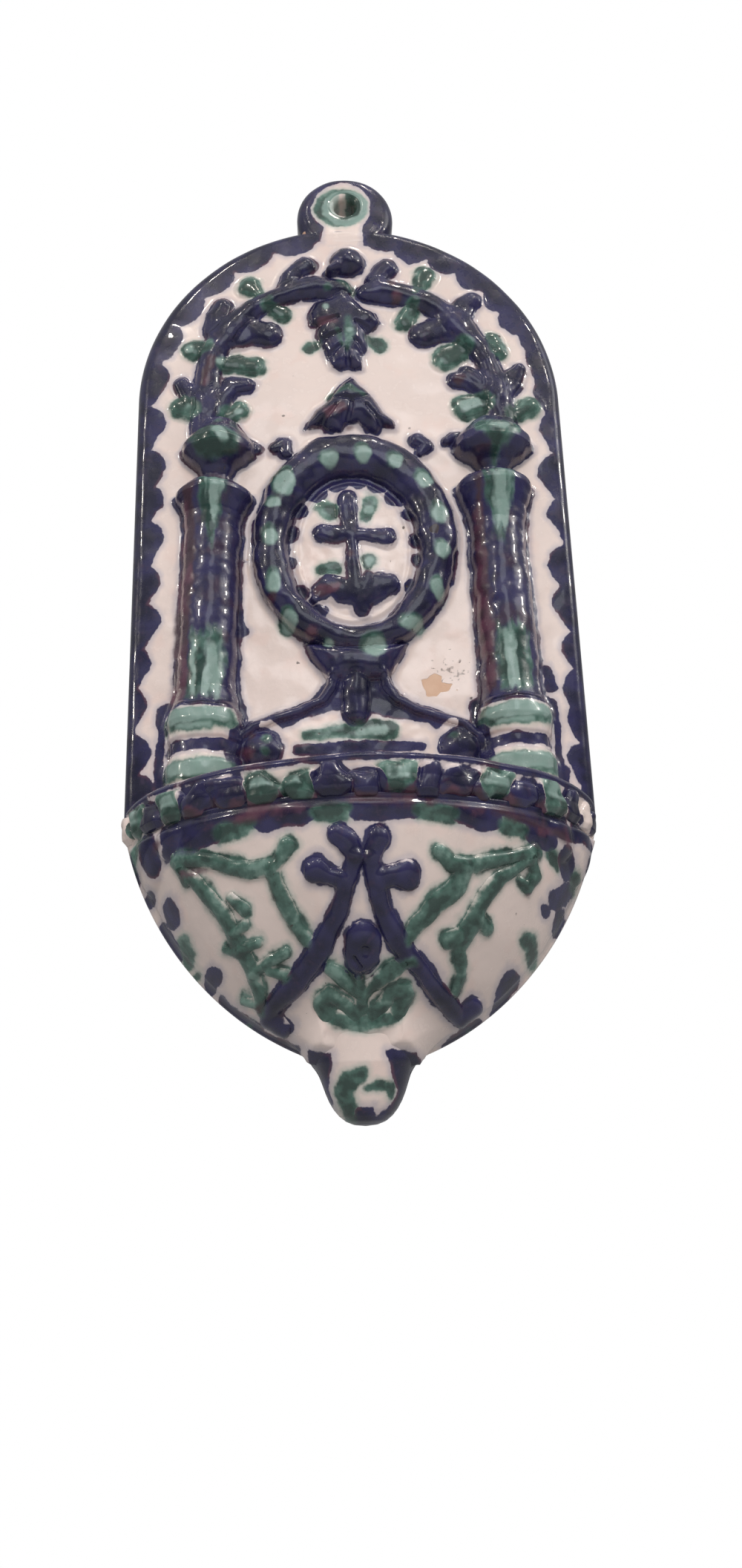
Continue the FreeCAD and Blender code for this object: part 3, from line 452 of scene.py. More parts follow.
# Each member is its rise and its strokes, every leaf from the stem outwards.
garland = {
    "left_garland_stem": (3, """cobalt -40.2 -77 3.8, -40 -69.4 3.7, -39.8 -63 3.5, -39.2 -57.2 3.5,
        -38.2 -51.5 3.6, -35.8 -46.2 4, -31.6 -40.8 3.7, -26.7 -35.8 3.1, -20.3 -32 2.9, -14.6 -29.6 3.5,
        -8.9 -28.6 3.9, -2 -29.8 3.2"""),
    "right_garland_stem": (3, """cobalt 5.6 -31 3.2, 9.8 -30.2 4.1, 15.4 -31.3 3.7, 22.5 -34 3.4,
        27.3 -38 3.6, 32 -43.4 3.9, 36.7 -49.5 3.4, 39.2 -54.6 3.1, 40.9 -61.2 3.3, 41.6 -67.7 3.4,
        42 -77 3.7"""),
    "left_outer_leaves": (2, """cobalt -17.6 -28 2.2, -16.2 -25 2.5, -14 -22.4 2.8, -11.5 -20.9 2.9;
        copper -25.6 -30.6 1.5, -27.9 -28 3; cobalt -37.4 -43 3.3, -37.3 -38.5 2.9, -35.4 -35 2.6;
        copper -40.1 -49.2 2.4, -43.2 -49.6 3; cobalt -41.5 -69.8 2.6, -44.2 -64.8 2.9, -46.6 -61.2 2.1;
        copper -43.4 -70.2 2.2, -46.6 -68.4 2.8"""),
    "left_inner_leaves": (2, """copper -23.2 -35.4 1.6, -18.8 -37.4 2.5; cobalt -32.3 -45 4.3,
        -27.4 -43.5 3.8, -22.6 -44.6 4; copper -34.8 -55 2.4, -30.9 -54.6 2.8, -26.2 -55.3 2.6;
        cobalt -37.7 -70.7 2.6, -35.3 -65.9 2.9, -33.2 -61.8 2.8, -28.8 -61.6 2.3; copper -34 -71.4 2.4,
        -30.8 -69.6 2.6"""),
    "right_outer_leaves": (2, """cobalt 8 -26.6 2.6, 10.4 -23 2.9, 11.6 -22 3; copper 21 -28.8 1.8,
        22.7 -24.6 2.9; cobalt 31.4 -39.6 4.2, 33.6 -35.6 3.4, 36 -33.6 2.5; copper 40.8 -46.4 2,
        42.2 -50.6 2.4; cobalt 42.6 -66 3.2, 44.6 -61.4 3.6, 47.9 -57 2; copper 45 -72 2.2, 50.4 -69 2.6"""),
    "right_inner_leaves": (2, """copper 18.8 -35.6 1.9, 16.2 -40.6 2.6; cobalt 32 -43.2 4.6, 26.3 -43 4.2,
        21.7 -45.2 4.2; copper 32.4 -49.6 3, 27.4 -52.9 3.5; cobalt 38 -64.4 3, 34 -60.4 3.2, 30 -60.4 2.6;
        37 -60 2.8, 32.8 -57.6 2; copper 37.4 -68 3, 32.4 -69 3.7"""),
    "keystone_bud": (4, "cobalt 0.2 -20.2 4.9; -3 -22.6 1.9, -5 -23.8 1.4"),
    "left_bud": (1.7, "cobalt -20.8 -81.8 1.6, -18.6 -80.8 2.3, -17.9 -83.4 1.5"),
    "right_bud": (1.7, "cobalt 18 -79.6 2.2, 20.4 -81.4 2, 18.4 -83.8 1.1"),
    "left_scroll": (3.7, """cobalt -5.6 -149.6 1.8, -6.8 -153 1.8, -9.6 -156.8 1.8, -15 -159.6 1.8,
        -21 -161.4 1.7, -26.6 -163.2 1.7, -30.4 -166.6 1.6, -31.6 -170.6 1.6, -31 -175 1.6"""),
    "right_scroll": (3.7, """cobalt 6.2 -149.6 1.8, 7.4 -153 1.8, 10.2 -157 1.8, 15.4 -160 1.8, 21.5 -162 1.7,
        26.8 -163.8 1.7, 30.4 -167.2 1.6, 31.4 -171 1.6, 31 -176 1.6"""),
    "pedestal_drop": (4.6, "cobalt -0.4 -151.6 3.6, -0.6 -156 4, -0.9 -160 3.5"),
    "left_boss": (4.6, "cobalt -24.6 -169.9 5.4"),
    "right_boss": (4.6, "cobalt 25.2 -170.1 5.5")}
for node, (rise, leaves) in garland.items():
    for colour, path in strokes(leaves):
        lower = 0.62 if colour == "copper" else 1.0
        stroke(front, node, rise * lower, path, colour, 0.45)
pendant = points("""-1.4 -31, -5 -32.4, -9 -33.6, -11 -37.2, -10.8 -41, -8.7 -42.2, -9 -45.2, -7.4 -48.6,
    -6 -51.6, -4.6 -55.4, -2.4 -56.6, -0.4 -55.8, 1.6 -57, 3.6 -56, 3.6 -52, 5.4 -50, 5 -44.4, 7.8 -43.2,
    9.6 -41, 7.8 -37.8, 4.2 -36.2, 1.2 -32""")
pressedShape(front, "pendant_leaf", 3.0, 3.4, pendant)
carve(front, "pendant_leaf", 0.9, """-8.4 -42.4 1, -3 -40.6 0.7; -7 -47.6 1, -2.4 -45.4 0.7; -5.2 -52.4 1,
    -2 -49.6 0.7; 5.2 -43.6 1, 2 -42 0.7; 4.6 -51 1, 1.8 -47.6 0.7; -0.6 -55.4 1, -0.4 -51 0.7""")
palmette = points("""0.4 -59.2, -2 -61.2, -5.8 -67, -9 -69.6, -11.8 -73.6, -12.4 -76, -8 -75, -6.4 -76.6,
    -2.8 -77.2, -0.8 -73.8, 2.4 -73.6, 4.8 -76.4, 7.4 -77.2, 8.8 -75.2, 12.2 -75.4, 12.2 -73.4, 9.4 -71,
    7 -66.8, 4 -63.2""")
pressedShape(front, "palmette", 3.6, 4.0, palmette)
carve(front, "palmette", 0.8, """-7.6 -74.6 1, -4 -69.4 0.7; -0.4 -73.4 1, 0.4 -68 0.7; 8.2 -74.8 1,
    4.4 -69.6 0.7; -3.6 -66.4 0.8, 0.6 -67.6 0.9, 4.6 -66.4 0.8""")

ring = {"outer": (0.1, -111.2, 27.2, 32.8), "inner": (-0.2, -113.8, 17.0, 22.4), "rise": 6.0,
        "dome": 2.0, "cross": 1.1, "lip": 1.2}


def ringDepth(x, z):
    # Depth inside the ring's outer edge, and outside its inner one.
    return ovalDepth(x, z, *ring["outer"]), -ovalDepth(x, z, *ring["inner"])


x, z = front["claySpot"]
outer, inner = ringDepth(x + 0.5 * lumps(x, z, 4.5, 90), z + 0.5 * lumps(x, z, 4.5, 91))
share = np.abs(2 * outer / np.maximum(outer + inner, 0.1) - 1)
edge = np.minimum(outer, inner)
addHeight(front, "ring_frame", rounded(edge, np.where(edge > 0, share, 2), ring["rise"], 2.3))
outer, inner = ringDepth(*front["brushSpot"])
addPaint(front, "cobalt", np.minimum(outer + 0.4, inner + 0.3))
for angle, size in points("""8 2.6, 30 2.4, 48 3, 66 2.8, 84 3.2, 104 3.4, 124 3.2, 146 2.6, 166 2.8, 190 2.4,
    214 2.6, 238 2.2, 330 2.2, 352 2.4"""):
    a = radians(angle)
    spot = (ring["inner"][0] + 17.4 * cos(a), ring["inner"][1] + 21.5 * sin(a), size)
    dab(front, "cobalt", [spot])
inner = -ringDepth(front["x"], front["z"])[1]
within = inner + ring["lip"]
outward = 1 - unit(within / ring["inner"][2])
dome = np.where(within > 0, ring["dome"] * np.sqrt(1 - outward**2 * 0.98), within * flankFall)
dome = dome + 0.45 * np.exp(-((inner - 1.9) / 0.7)**2)
dome = dome + 0.16 * lumps(front["x"], front["z"], 3.4, 92)
addHeight(front, "medallion", dome)

crossStrokes = """cobalt -1.6 -98.6 2.4, -1.6 -104 2.3, -1 -109 2, -0.7 -113 1.4, -0.7 -118 1.6, 0.2 -124 2.4;
    -8.2 -109 2.2, -5 -109.6 2.5, -1 -109.4 1.8, 4 -109.6 1.9, 8.2 -110.4 2.6; -11 -128.6 0.9,
    -9.2 -125.8 2.6, -6.6 -124.2 3, -3 -126 3.6, 2 -126.4 4.4, 6 -124.8 3.8, 9 -124.2 2.6; 2 -126.4 3.6,
    1.6 -131.4 2; 3 -123.4 2.4, 3.6 -121.8 1.4"""
for colour, path in strokes(crossStrokes):
    part, depth, share = runDepth(front, "claySpot", path)
    lift = rounded(depth, share, ring["cross"])
    addHeight(front, "medallion_cross", np.where(lift > -1.0, dome[part] + lift, farAway), part, 0.8)
    dab(front, colour, [(x, z, r + 0.3) for x, z, r in path])

pedestal = {"rise": 2.4, "edge": 1.6, "knop": 5.0,
            "outline": points("""-31 -181, -31 -166, -27 -162.2, -20 -160.4, -12 -158, -8 -155, -6 -151,
                -6 -148, 6.5 -148, 6.6 -151, 8.4 -155, 13 -158.4, 20 -161, 27 -163, 31 -167, 31 -181"""),
            "knopOutline": points("""-13.4 -140.6, 13.6 -140.6, 12 -144.4, 9.6 -148.2, 7.6 -151.6,
                -6.8 -151.6, -9 -148.2, -11.8 -144.4""")}
addFlat(front, "pedestal_foot", pedestal["rise"], pedestal["edge"],
        *outlined(front, "claySpot", pedestal["outline"]))
pressedShape(front, "ring_knop", pedestal["knop"], 5.0, pedestal["knopOutline"], 0.2)
finishBoard(front, 2.4, 0.32, 31)
print("plate relief laid out")


def onPlate(x, z, height):
    return np.stack([x, -plate["front"] - height, z], -1)


def makeBack():
    # Rows run from the crown to the foot; each row is a closed loop round front, edge and back.
    w, step, arch, shoulder, foot, curve, roll, back, thick = (plate[key] for key in (
        "halfWidth", "step", "archZ", "shoulderZ", "footZ", "footCurve", "roll", "backRound", "front"))
    # Each row: z, half width, outward normal in x and z.
    rows = [(arch + w * sin(a), w * cos(a), cos(a), sin(a))
            for a in map(radians, np.linspace(90, 0, int(pi / 2 * w / step)))]
    rows += [(level, w, 1.0, 0.0) for level in np.arange(arch - step, shoulder, -step)]
    chord = (w, shoulder - foot)
    length = hypot(*chord)
    rise = sqrt(curve**2 - length**2 / 4)
    cx, cz = w / 2 - rise * chord[1] / length, (shoulder + foot) / 2 + rise * chord[0] / length
    for a in np.linspace(atan2(shoulder - cz, w - cx), atan2(foot - cz, -cx), 90):
        rows.append((cz + curve * sin(a), max(cx + curve * cos(a), 0), cos(a), sin(a)))
    rows = np.array(rows)
    # Each place on the loop: share of the half width, inset from the outline, and y behind the front.
    quarter = np.linspace(0, pi / 2, 8)[1:]
    bend = [(1, roll * (1 - sin(a)), roll * (1 - cos(a))) for a in quarter]
    side = [(1, 0, thick * 0.6), (1, 0, thick - back), (1, back * 0.3, thick - back * 0.3), (1, back, thick)]
    loop = [(t, roll, None) for t in np.linspace(-1, 1, int(2 * w / step))] + bend + side
    loop += [(t, back, thick) for t in np.linspace(1, -1, 30)[1:-1]]
    loop += [(-t, inset, fall) for t, inset, fall in reversed(bend + side)]
    spots, falls = [], []
    for t, inset, fall in loop:
        x = t * np.maximum(rows[:, 1] - inset * rows[:, 2], 0)
        z = rows[:, 0] - inset * rows[:, 3]
        ground = readBoard(front, front["ground"], x, z)
        if fall is None:
            y = -thick - ground
        else:
            y = fall - thick - ground * max(0, 1 - fall / 3)
        spots.append(np.stack([x, np.minimum(y, 0), z], -1))
        falls.append(np.full(len(rows), fall or 0.0))
    flat = np.stack(spots, 1).reshape(-1, 3)
    fall = np.stack(falls, 1).ravel()
    x, y, z = flat.T
    paint = paintAt(front, x, z)
    paint["clay"] = np.maximum(paint["clay"], fall - (thick - 0.9))
    edgeBlue = np.minimum(3.0, np.abs(x) - 17 + 3 * lumps(y, z, 4, 41))
    edgeBlue = np.where(z > -200, 3.0, edgeBlue)
    paint["cobalt"] = np.maximum(paint["cobalt"], np.where(fall > 0.3, edgeBlue, farAway))
    faces = gridFaces(len(rows), len(loop), wrapCols=True)
    return weld(flat, faces[:, ::-1], paint)


def bowlRadius(z):
    return bowl["centre"] + np.sqrt(np.maximum(bowl["curve"]**2 - (z - bowl["centreZ"])**2, 1))


def onBowl(x, z, height):
    # A spot on the bowl's outside, seen from the front, lifted along the wall's own direction.
    r = bowlRadius(z)
    across = np.clip(x / r, -0.995, 0.995)
    ahead = np.sqrt(1 - across**2)
    outward, upward = (r - bowl["centre"]) / bowl["curve"], (z - bowl["centreZ"]) / bowl["curve"]
    reach = r + height * outward
    return np.stack([reach * across, bowl["axis"] - reach * ahead, z + height * upward], -1)


sprigs = {
    "left_baton": (1.9, """cobalt -2.6 -205.6 1.9, -4.4 -211.1 1.9, -6.4 -216.8 2, -9.1 -221.4 2.3,
        -13.1 -226.9 2.6, -17.2 -230.6 2.4, -20.8 -233.8 2.2, -22.2 -236 2, -18.6 -238.4 1.6; -2.8 -205 2,
        -4.6 -202.2 2.3, -6.4 -200.9 2.2; -4.4 -210.8 1.9, -8 -209.4 1.9, -11 -208.2 2.9"""),
    "right_baton": (1.9, """cobalt 0.6 -206 2, 1.6 -211.3 2.1, 3.4 -217.1 2.1, 6.4 -222.9 2.4, 11 -227.5 2.1,
        15.2 -232.1 2.2, 18.9 -235.4 2.4, 21 -237.4 2, 24.4 -234.8 1.7; 0.6 -206 2, 2.4 -202 2.7;
        2.4 -210.6 2.2, 5.4 -209.6 2.2, 8.2 -209.6 3.1"""),
    "bowl_boss": (2.4, "cobalt -1.1 -222.6 4.1, -1.4 -224.8 4"),
    "left_upper_spray": (1.4, """copper -42 -201.6 1.8, -37 -202.6 1.8, -33 -203.8 1.7, -25.6 -206.7 1.8,
        -20.3 -206.5 1.8; -19.4 -206 1.5, -17.2 -203 2.1; -20.4 -207.6 1.6, -17.9 -213.8 1.7,
        -15.4 -218.6 1.5, -12.9 -221.7 1.5; -42.2 -202 1.4, -40 -206.8 1.2"""),
    "left_lower_spray": (1.4, """copper -41 -203.7 1.2, -35.4 -209.7 1.6, -30.8 -215.8 1.8, -28.9 -220.2 1.7,
        -26.4 -224.6 1.6, -24 -230.6 1.5, -23.6 -234.2 1.3; -30 -211.6 0.9, -26.4 -214.4 1.5; -29.4 -218.2 1,
        -26.6 -217.4 1.2; -27.6 -221.8 1.1, -24 -221.2 1.2; -28.6 -222.4 1, -31.4 -221.4 1; -25.4 -227 1,
        -21 -224.8 1.3, -17.8 -223.8 1.3; -21.6 -226.8 1, -18 -228 1.4; -24.6 -233 0.9, -28 -231.8 0.9"""),
    "right_upper_spray": (1.4, """copper 38.4 -202.4 1.8, 34 -203.6 1.4, 30.7 -204.5 1.4, 23.7 -207.1 1.8,
        18 -206.9 1.8, 15.6 -204.8 1.7; 21.4 -208 1.8, 19.4 -211.2 2.1, 14.4 -215.3 2.2, 10.4 -219.4 2,
        8.4 -222 1.4"""),
    "right_lower_spray": (1.4, """copper 35.9 -204.6 1.1, 29.3 -209 1.6, 25.1 -214.1 1.9, 22.4 -219 2.2,
        19.9 -223.4 1.6, 20.6 -228.4 1.5, 19.5 -232 1.3; 24.4 -216.6 1.5, 26.6 -219 1.7; 20 -221 1.5,
        17.6 -222.2 1.9; 37 -203.6 1.5, 38.4 -207 1.3, 36 -210.2 1.3, 34.6 -208.8 0.9"""),
    "bowl_fleur": (1.5, """copper -2 -228.8 0.9, -1.6 -231 1.1, -1.5 -234.6 1.6; -8.6 -227.2 1.3,
        -5.6 -228.9 1.7, -2.8 -231.8 1.1; 9 -225.6 1.5, 4.4 -228.4 1.9, 0.6 -231 1.3, -1.2 -233 1;
        -3 -236 1.3, -5.2 -234.2 1.4, -8.4 -232.2 1.6, -10.4 -233.6 1.9, -8.8 -235.4 2; 0.8 -235.8 1.3,
        3 -234.2 1.4, 5.4 -231.6 1.6, 8.2 -232.4 2, 6.6 -235 2.1; -8.4 -238 1.1, -4.8 -238.6 1.6,
        -1.2 -239 1.7, 3 -238.6 1.5, 6.2 -237.4 1.1""")}
belly = newBoard(-64, 64, -262, -176, 51)
for node, (rise, leaves) in sprigs.items():
    for colour, path in strokes(leaves):
        stroke(belly, node, rise * 1.15, path, colour, 0.3 if colour == "cobalt" else 0.0)
carve(belly, "bowl_boss", 0.9, "-0.6 -223.4 1.3; -3 -224.6 0.6, -1.6 -226.4 0.6")

# The painted band swells under the rim, folds stand at its two sides (x, z, half width, half height),
# and a fillet of slip runs round the drip.
band = {"down": 196.4, "sag": 0.0019, "rise": 1.25, "half": 2.4, "straight": 42, "fold": 2.4,
        "folds": """-50 -199 4.2 8, -55.2 -199 2.6 8, -44.4 -197 3.4 4.4, 51 -199 3.8 7.6, 55.6 -198 2.4 7,
            45 -198 3.6 5, -59 -198 2.2 7, 59 -198 2.2 7"""}
x, z = belly["x"], belly["z"]
swell = band["rise"] * np.sqrt(unit(1 - ((z + band["down"] + band["sag"] * x**2) / band["half"])**2))
swell = swell * (0.62 + 0.38 * lumps(x, z * 0.5, 6, 97))
swell = np.where(np.abs(x) < band["straight"], swell, swell * (0.5 + 0.5 * lumps(x, z * 0.5, 4.5, 96)))
for across, level, wide, high in points(band["folds"]):
    hump = unit(1 - ((x - across) / wide)**2 - ((z - level) / high)**2)
    swell = smoothMax(swell, band["fold"] * np.sqrt(hump), 0.8)
root = onBowl(x, z, 0 * x)
reach = np.maximum(np.hypot(root[..., 0] - drip["x"], root[..., 1] - drip["y"]) - drip["root"], 0)
reach = np.hypot(reach, np.maximum(z - drip["rootZ"], 0))
belly["swell"] = swell + 0.3 * np.maximum(drip["blend"] - reach, 0)**2 / drip["blend"]
belly["room"] = (np.abs(x) < bowlRadius(z) * 0.95) & (z < -195.5) & (z > -243)
finishBoard(belly, 1.5, 0.3, 61)
print("bowl relief laid out")

# Paint on the plate. The border is a row of scallops: z, and how far in each one reaches.
# Over the arch they are the turn from straight up, how far out the dab lies and its size.
border = {"left": """-60 -50.5, -74.5 -51, -88 -50.5, -98.5 -51, -110 -50.5, -123 -51.5, -134 -51, -146 -53,
    -157.5 -53.5, -171 -52.5, -181 -51.5""",
          "right": """-66 51.5, -77 52, -91 51, -104 52.5, -119 51.5, -130 52, -143.5 53.5, -155 52.5,
              -163.5 53, -174.5 52.5, -184 54.5""",
          "arch": "12 8.4, 20.5 10.4, 32 9.3, 42 9.2, 53 9, 62 9.4, 77 7.8, 90 7.6",
          "dab": 5.5, "leftBand": 5.7, "rightBand": 6.8, "sideBand": 2.6}
for side, out, lowOut in (("left", -5.6, -6.2), ("right", 5.8, 6.2)):
    for z, x in points(border[side]):
        dab(front, "cobalt", [(x + out, z + 1, 5.8), (x + lowOut, z - 4.6, 3.4)])
archDabs = [(angle, 59.3, 9.0) for angle in (-70, -57, -44, -30, -16)]
archDabs += [(angle, plate["halfWidth"] - reach + border["dab"], border["dab"])
             for angle, reach in points(border["arch"])]
for angle, out, size in archDabs:
    a = radians(angle)
    dab(front, "cobalt", [(out * sin(a), plate["archZ"] + out * cos(a), size)])
x, z = front["brushSpot"]
wide = np.where(x < 0, border["leftBand"], border["rightBand"])
arch = np.hypot(x, z - plate["archZ"]) - (plate["halfWidth"] - wide)
sides = np.abs(x) - (plate["halfWidth"] - border["sideBand"])
addPaint(front, "cobalt", np.where(z > plate["archZ"], arch, sides))

# The lug is blue round a white field, with a green eye about its hole.
lugPaint = {"white": (-0.9, 0.9, 8.8, 9.2), "green": (-1.2, 0.9, 7.8, 7.0), "pale": (0.2, 0.8, 5.6, 5.4),
            "neck": 5.9, "lowest": -14.5}
addPaint(front, "cobalt", z + 9.5)
neck = np.minimum(lugPaint["neck"] - np.abs(x + 0.8), z - lugPaint["lowest"])
bare = np.maximum(ovalDepth(x, z, *lugPaint["white"]), np.where(z < -2, neck, farAway))
blue = front["paint"]["cobalt"]
blue[:] = np.where(z > -15.5, np.minimum(blue, -bare), blue)
addPaint(front, "copper", ovalDepth(x, z, *lugPaint["green"]))
addPaint(front, "mint", 1.2 - np.abs(ovalDepth(x, z, *lugPaint["pale"])))
brush(front, "mint 3.6 -3.4 1.4, 0 -5 1.2; clay -13 7 0.7; -12.6 -7.4 0.8")

# Copper over the cobalt, and where the cobalt ran thin and brown.
brush(front, """copper -11 -48.6 2, -8.6 -47.8 1.4; 8.4 -48 2.7, 5.6 -46.6 1.6; 0 -41 1.2, 0.4 -46 2,
    -0.2 -51 1.1; -3.4 -45 1.2, -1.6 -49.6 1; -5.2 -65.6 1, -1 -64.4 1.5, 3.4 -66 1; -2 -27.6 1.5,
    1.4 -30.6 1.6; -5.6 -30.2 1.4; 19.6 -31.6 1.6; -21.8 -33.6 1.4; -43.6 -67 1; brown -7.4 -41.6 1.2,
    -4 -41.2 1; -3 -70.6 1.6, -6.4 -71.8 1.2; 14 -33.4 1.2; 30.4 -60.6 1.5; -38.8 -54 1, -40 -62 1;
    13 -28.6 1.2; -0.4 -75.4 0.8; mint 35 -68.4 1.6, 32 -69 2; -31 -70 1; -36 -54.6 1; -45 -69.2 0.9;
    0.6 -45 1; -6 -36.8 1; -44.4 -49.6 1.2""")
for foot in (-39.5, 39.8):
    brush(front, """copper -7.6 -163.4 2.5, 0 -163.6 2.9, 6.8 -163 2.5; -7.4 -176.6 2.6, 6.8 -176.4 2.8;
        mint -6.6 -162.8 1.8, 0 -162.6 2.1, 6 -162.4 1.9; -5 -165.4 0.6, 3 -165.2 0.6; -6.4 -176.2 2,
        5.8 -175.8 2.1; cobalt -7.6 -169.9 1.7, 6.8 -169.8 1.7; -11 -182 1.3, -10.6 -164 1, -10 -158 1.6;
        10.6 -182 1.3, 10.6 -164 0.9, 9.6 -158 1.6; -9 -157.4 1.5, 8.6 -157.4 1.5""", foot)
brush(front, "cobalt 49 -148 1.2, 50 -153.4 1.5; 51 -176 1.6, 50.6 -182 2")
# Streaks on the columns: colour, seed, how frayed they end, and their run.
for colour, seed, frayed, run in (
        ("brown", 305, 0.4, "-45.8 -158 1.9, -44.6 -136 2.2, -43.8 -116 2.2, -43.6 -97 1.4"),
        ("brown", 306, 0.4, "33.8 -156 1.2, 33.2 -136 1.6, 33 -112 1.3, 33 -96 0.8"),
        ("copper", 307, 0.7, "-37.4 -116 1.2, -37.2 -106 2.4, -37.1 -100 4.2, -37.1 -94 4.2"),
        ("mint", 308, 0.7, "-36.6 -108 0.8, -36.2 -100 2, -36.2 -96 2"),
        ("copper", 309, 0.7, "-38.6 -157.4 4.6, -38.2 -148 4.8, -38 -138 4.2"),
        ("mint", 310, 0.7, "-36.8 -156 2, -36.6 -142 2"),
        ("mint", 311, 0.3, "-41.6 -156 0.7, -41.2 -142 0.7"),
        ("copper", 312, 0.7, "38.4 -116 1.2, 38.2 -106 2.6, 38.4 -100 4.6, 38.4 -93 4.6"),
        ("mint", 313, 0.7, "39.2 -110 1.2, 39 -95 2.2"),
        ("copper", 314, 0.7, "40.2 -157.6 4.6, 39.8 -148 4.9, 39.4 -137 4.2"),
        ("mint", 315, 0.7, "38.6 -156 1.6, 38.2 -140 1.6")):
    streaked(front, colour, seed, frayed, points(run))

# The bulbs and collars of the columns.
brush(front, """copper -42 -81.6 2.6, -37.6 -83.6 5.2, -33.6 -83.8 4; -36 -76 1.4; 35 -80.8 2.8,
    39.4 -82.6 4.4, 43.8 -81.4 2.4; 38.8 -86 2, 38.2 -90 1.2; mint -35.6 -81.4 1.6, -34.4 -84 1.4;
    37.6 -81 1.2, 40.6 -81.6 1.6; brown -43.4 -80.6 1.3, -41.8 -79 1; cobalt -30 -136 2; -30.4 -131 1.2,
    -29.9 -136 1.2; -29 -115.6 0.5""")

# Dabs of copper round the ring (x, z, half width, half height), and its break lines.
for across, level, wide, high in points("""-18.6 -94.5 3.4 5.4, -21.6 -101 2.8 2.2, -22.2 -111.1 2.7 3.7,
    -21.4 -124.4 2.2 4.2, -17.6 -134.4 2.8 3.2, -7.6 -141.2 1.6 1.6, 4.2 -142.6 3.7 3.6, 13.8 -136.4 4 2.4,
    21.2 -126.4 2.2 3.5, 22.7 -115.6 2.6 3.5, 22.4 -104.8 2.9 3.7, 18.7 -94.4 2.8 3.4, 11.1 -88.6 2.6 3,
    2.6 -86.2 2.8 3.3, -6.6 -87.8 3.1 2.7"""):
    addPaint(front, "copper", ovalDepth(x, z, across, level, wide, high))
    # Each dab's pale mint patch, set towards its lower right, is a painted highlight.
    addPaint(front, "mint", ovalDepth(x, z, across + wide * 0.15, level - high * 0.2, wide * 0.8, high * 0.7))
brush(front, """copper -8.6 -100.4 1.8, -6.4 -102.4 2.8; 4.6 -99.2 2.2, 3.2 -104 1.6; -8.4 -119.4 1.8,
    -5 -119.2 1.8; 3.6 -117.6 2.1; mint 4 -101.6 1.4; 4 -117.4 1.2; brown -9.8 -126 1.7, -5 -125.2 1.2;
    -1 -115.4 0.9; -22 -129 1.1; -11.6 -138.6 1.1""")

# The pedestal: blue edges, a green and a blue bar, bosses with a white gap round them.
paintShape(front, "cobalt", points("""-11.9 -143.6, -8.6 -147.4, -6.3 -150.2, -6.6 -152.3, -8.5 -154.7,
    -11.1 -156.4, -15.1 -158.1, -19.6 -159.1, -23.5 -160, -27.4 -161.7, -30.6 -164.4, -31.8 -168.5,
    -31.4 -175, -29.6 -175, -29.9 -169.4, -28.2 -165.4, -25.6 -163.2, -22.4 -162.9, -19.6 -163.8,
    -15.1 -161.9, -11.2 -160.3, -5.9 -159.2, -4.1 -159.2, -3.4 -162.5, -0.8 -163.1, 1.8 -162.8, 3 -160.4,
    6.2 -160.9, 11.3 -161.9, 17.6 -163, 19.2 -164.6, 22 -163.4, 26 -164.2, 28.6 -167, 29.4 -170, 29.2 -175,
    31 -175, 31.6 -169.9, 30.8 -166.5, 28.3 -163.1, 24.6 -161, 20.3 -159.6, 13.6 -158.1, 10.2 -156.3,
    7.6 -154.2, 6.2 -152, 6.4 -149.6, 9.4 -147, 12.6 -143.4"""), 0.25)
brush(front, """cobalt -15.6 -170 1.5, 0 -169.4 1.8, 15.2 -169.4 1.4; copper -13.4 -166 1.2, -6 -165.4 2,
    3 -164.8 2.5, 7.6 -165 2.4; -23 -167.4 1.6; 23.4 -167.2 1.4; -23.6 -171 1.4; mint 0 -165.4 1, 6 -165 1.2;
    brown -28.2 -171 1.5; -26.8 -166.2 0.8""")
gap = np.minimum(np.hypot(x + 24.6, z + 169.9), np.hypot(x - 25.2, z + 170.1))
ringGap = np.where(np.abs(x) < 25, 1.0 - np.abs(gap - 6.9), farAway)
blue[:] = np.where(z < -160, np.minimum(blue, -ringGap), blue)

# Worn spots, specks and pinholes.
paintShape(front, "clay", points("""16.6 -150.6, 18.4 -150.4, 20.2 -148.8, 22 -149.6, 21.8 -151.6, 24.8 -152,
    23.6 -154, 21.4 -153.6, 20.6 -155, 17.4 -155.4"""), 0)
brush(front, """clay -28.5 -115 0.45; 25.6 -154 0.3; fleck -15 -145 0.5; 29 -156 0.5; -18.5 -71 0.5;
    16 -75 0.4; 13.5 -107 0.4; 13.5 -124.5 0.4; -16 -58 0.35; 43 -45 0.4; 21 -110 1.3""")
spotSeeds = np.random.default_rng(77)
for x, z in zip(spotSeeds.normal(24.6, 2.4, 60), spotSeeds.normal(-148.0, 2.2, 60)):
    turn = spotSeeds.uniform(0, pi)
    dab(front, "fleck", [(x, z, 0.17), (x + 0.8 * cos(turn), z + 0.5 * sin(turn), 0.1)])


def scatter(board, count, across, low, high, largest):
    # Pinholes thrown at random over a board.
    for spot in zip(spotSeeds.uniform(-across, across, count), spotSeeds.uniform(low, high, count),
                    spotSeeds.uniform(0.12, largest, count)):
        dab(board, "fleck", [spot])


scatter(front, 60, 54, -180, -12, 0.3)

# Rim frills: the colour of each, and its turn from straight ahead in degrees.
frillList = """cobalt -86, cobalt -79, bare -71, copper -62.5, cobalt -54, copper -46.6, cobalt -38.4,
    cobalt -30, copper -21.2, copper -14, cobalt -6.6, cobalt 0.4, copper 7, cobalt 12.6, cobalt 19.2,
    copper 27.6, cobalt 36.8, copper 45.6, cobalt 54.6, bare 63, cobalt 69, cobalt 77, cobalt 85"""
frills = [(kind, float(turn)) for kind, turn in (frill.split() for frill in frillList.split(","))]

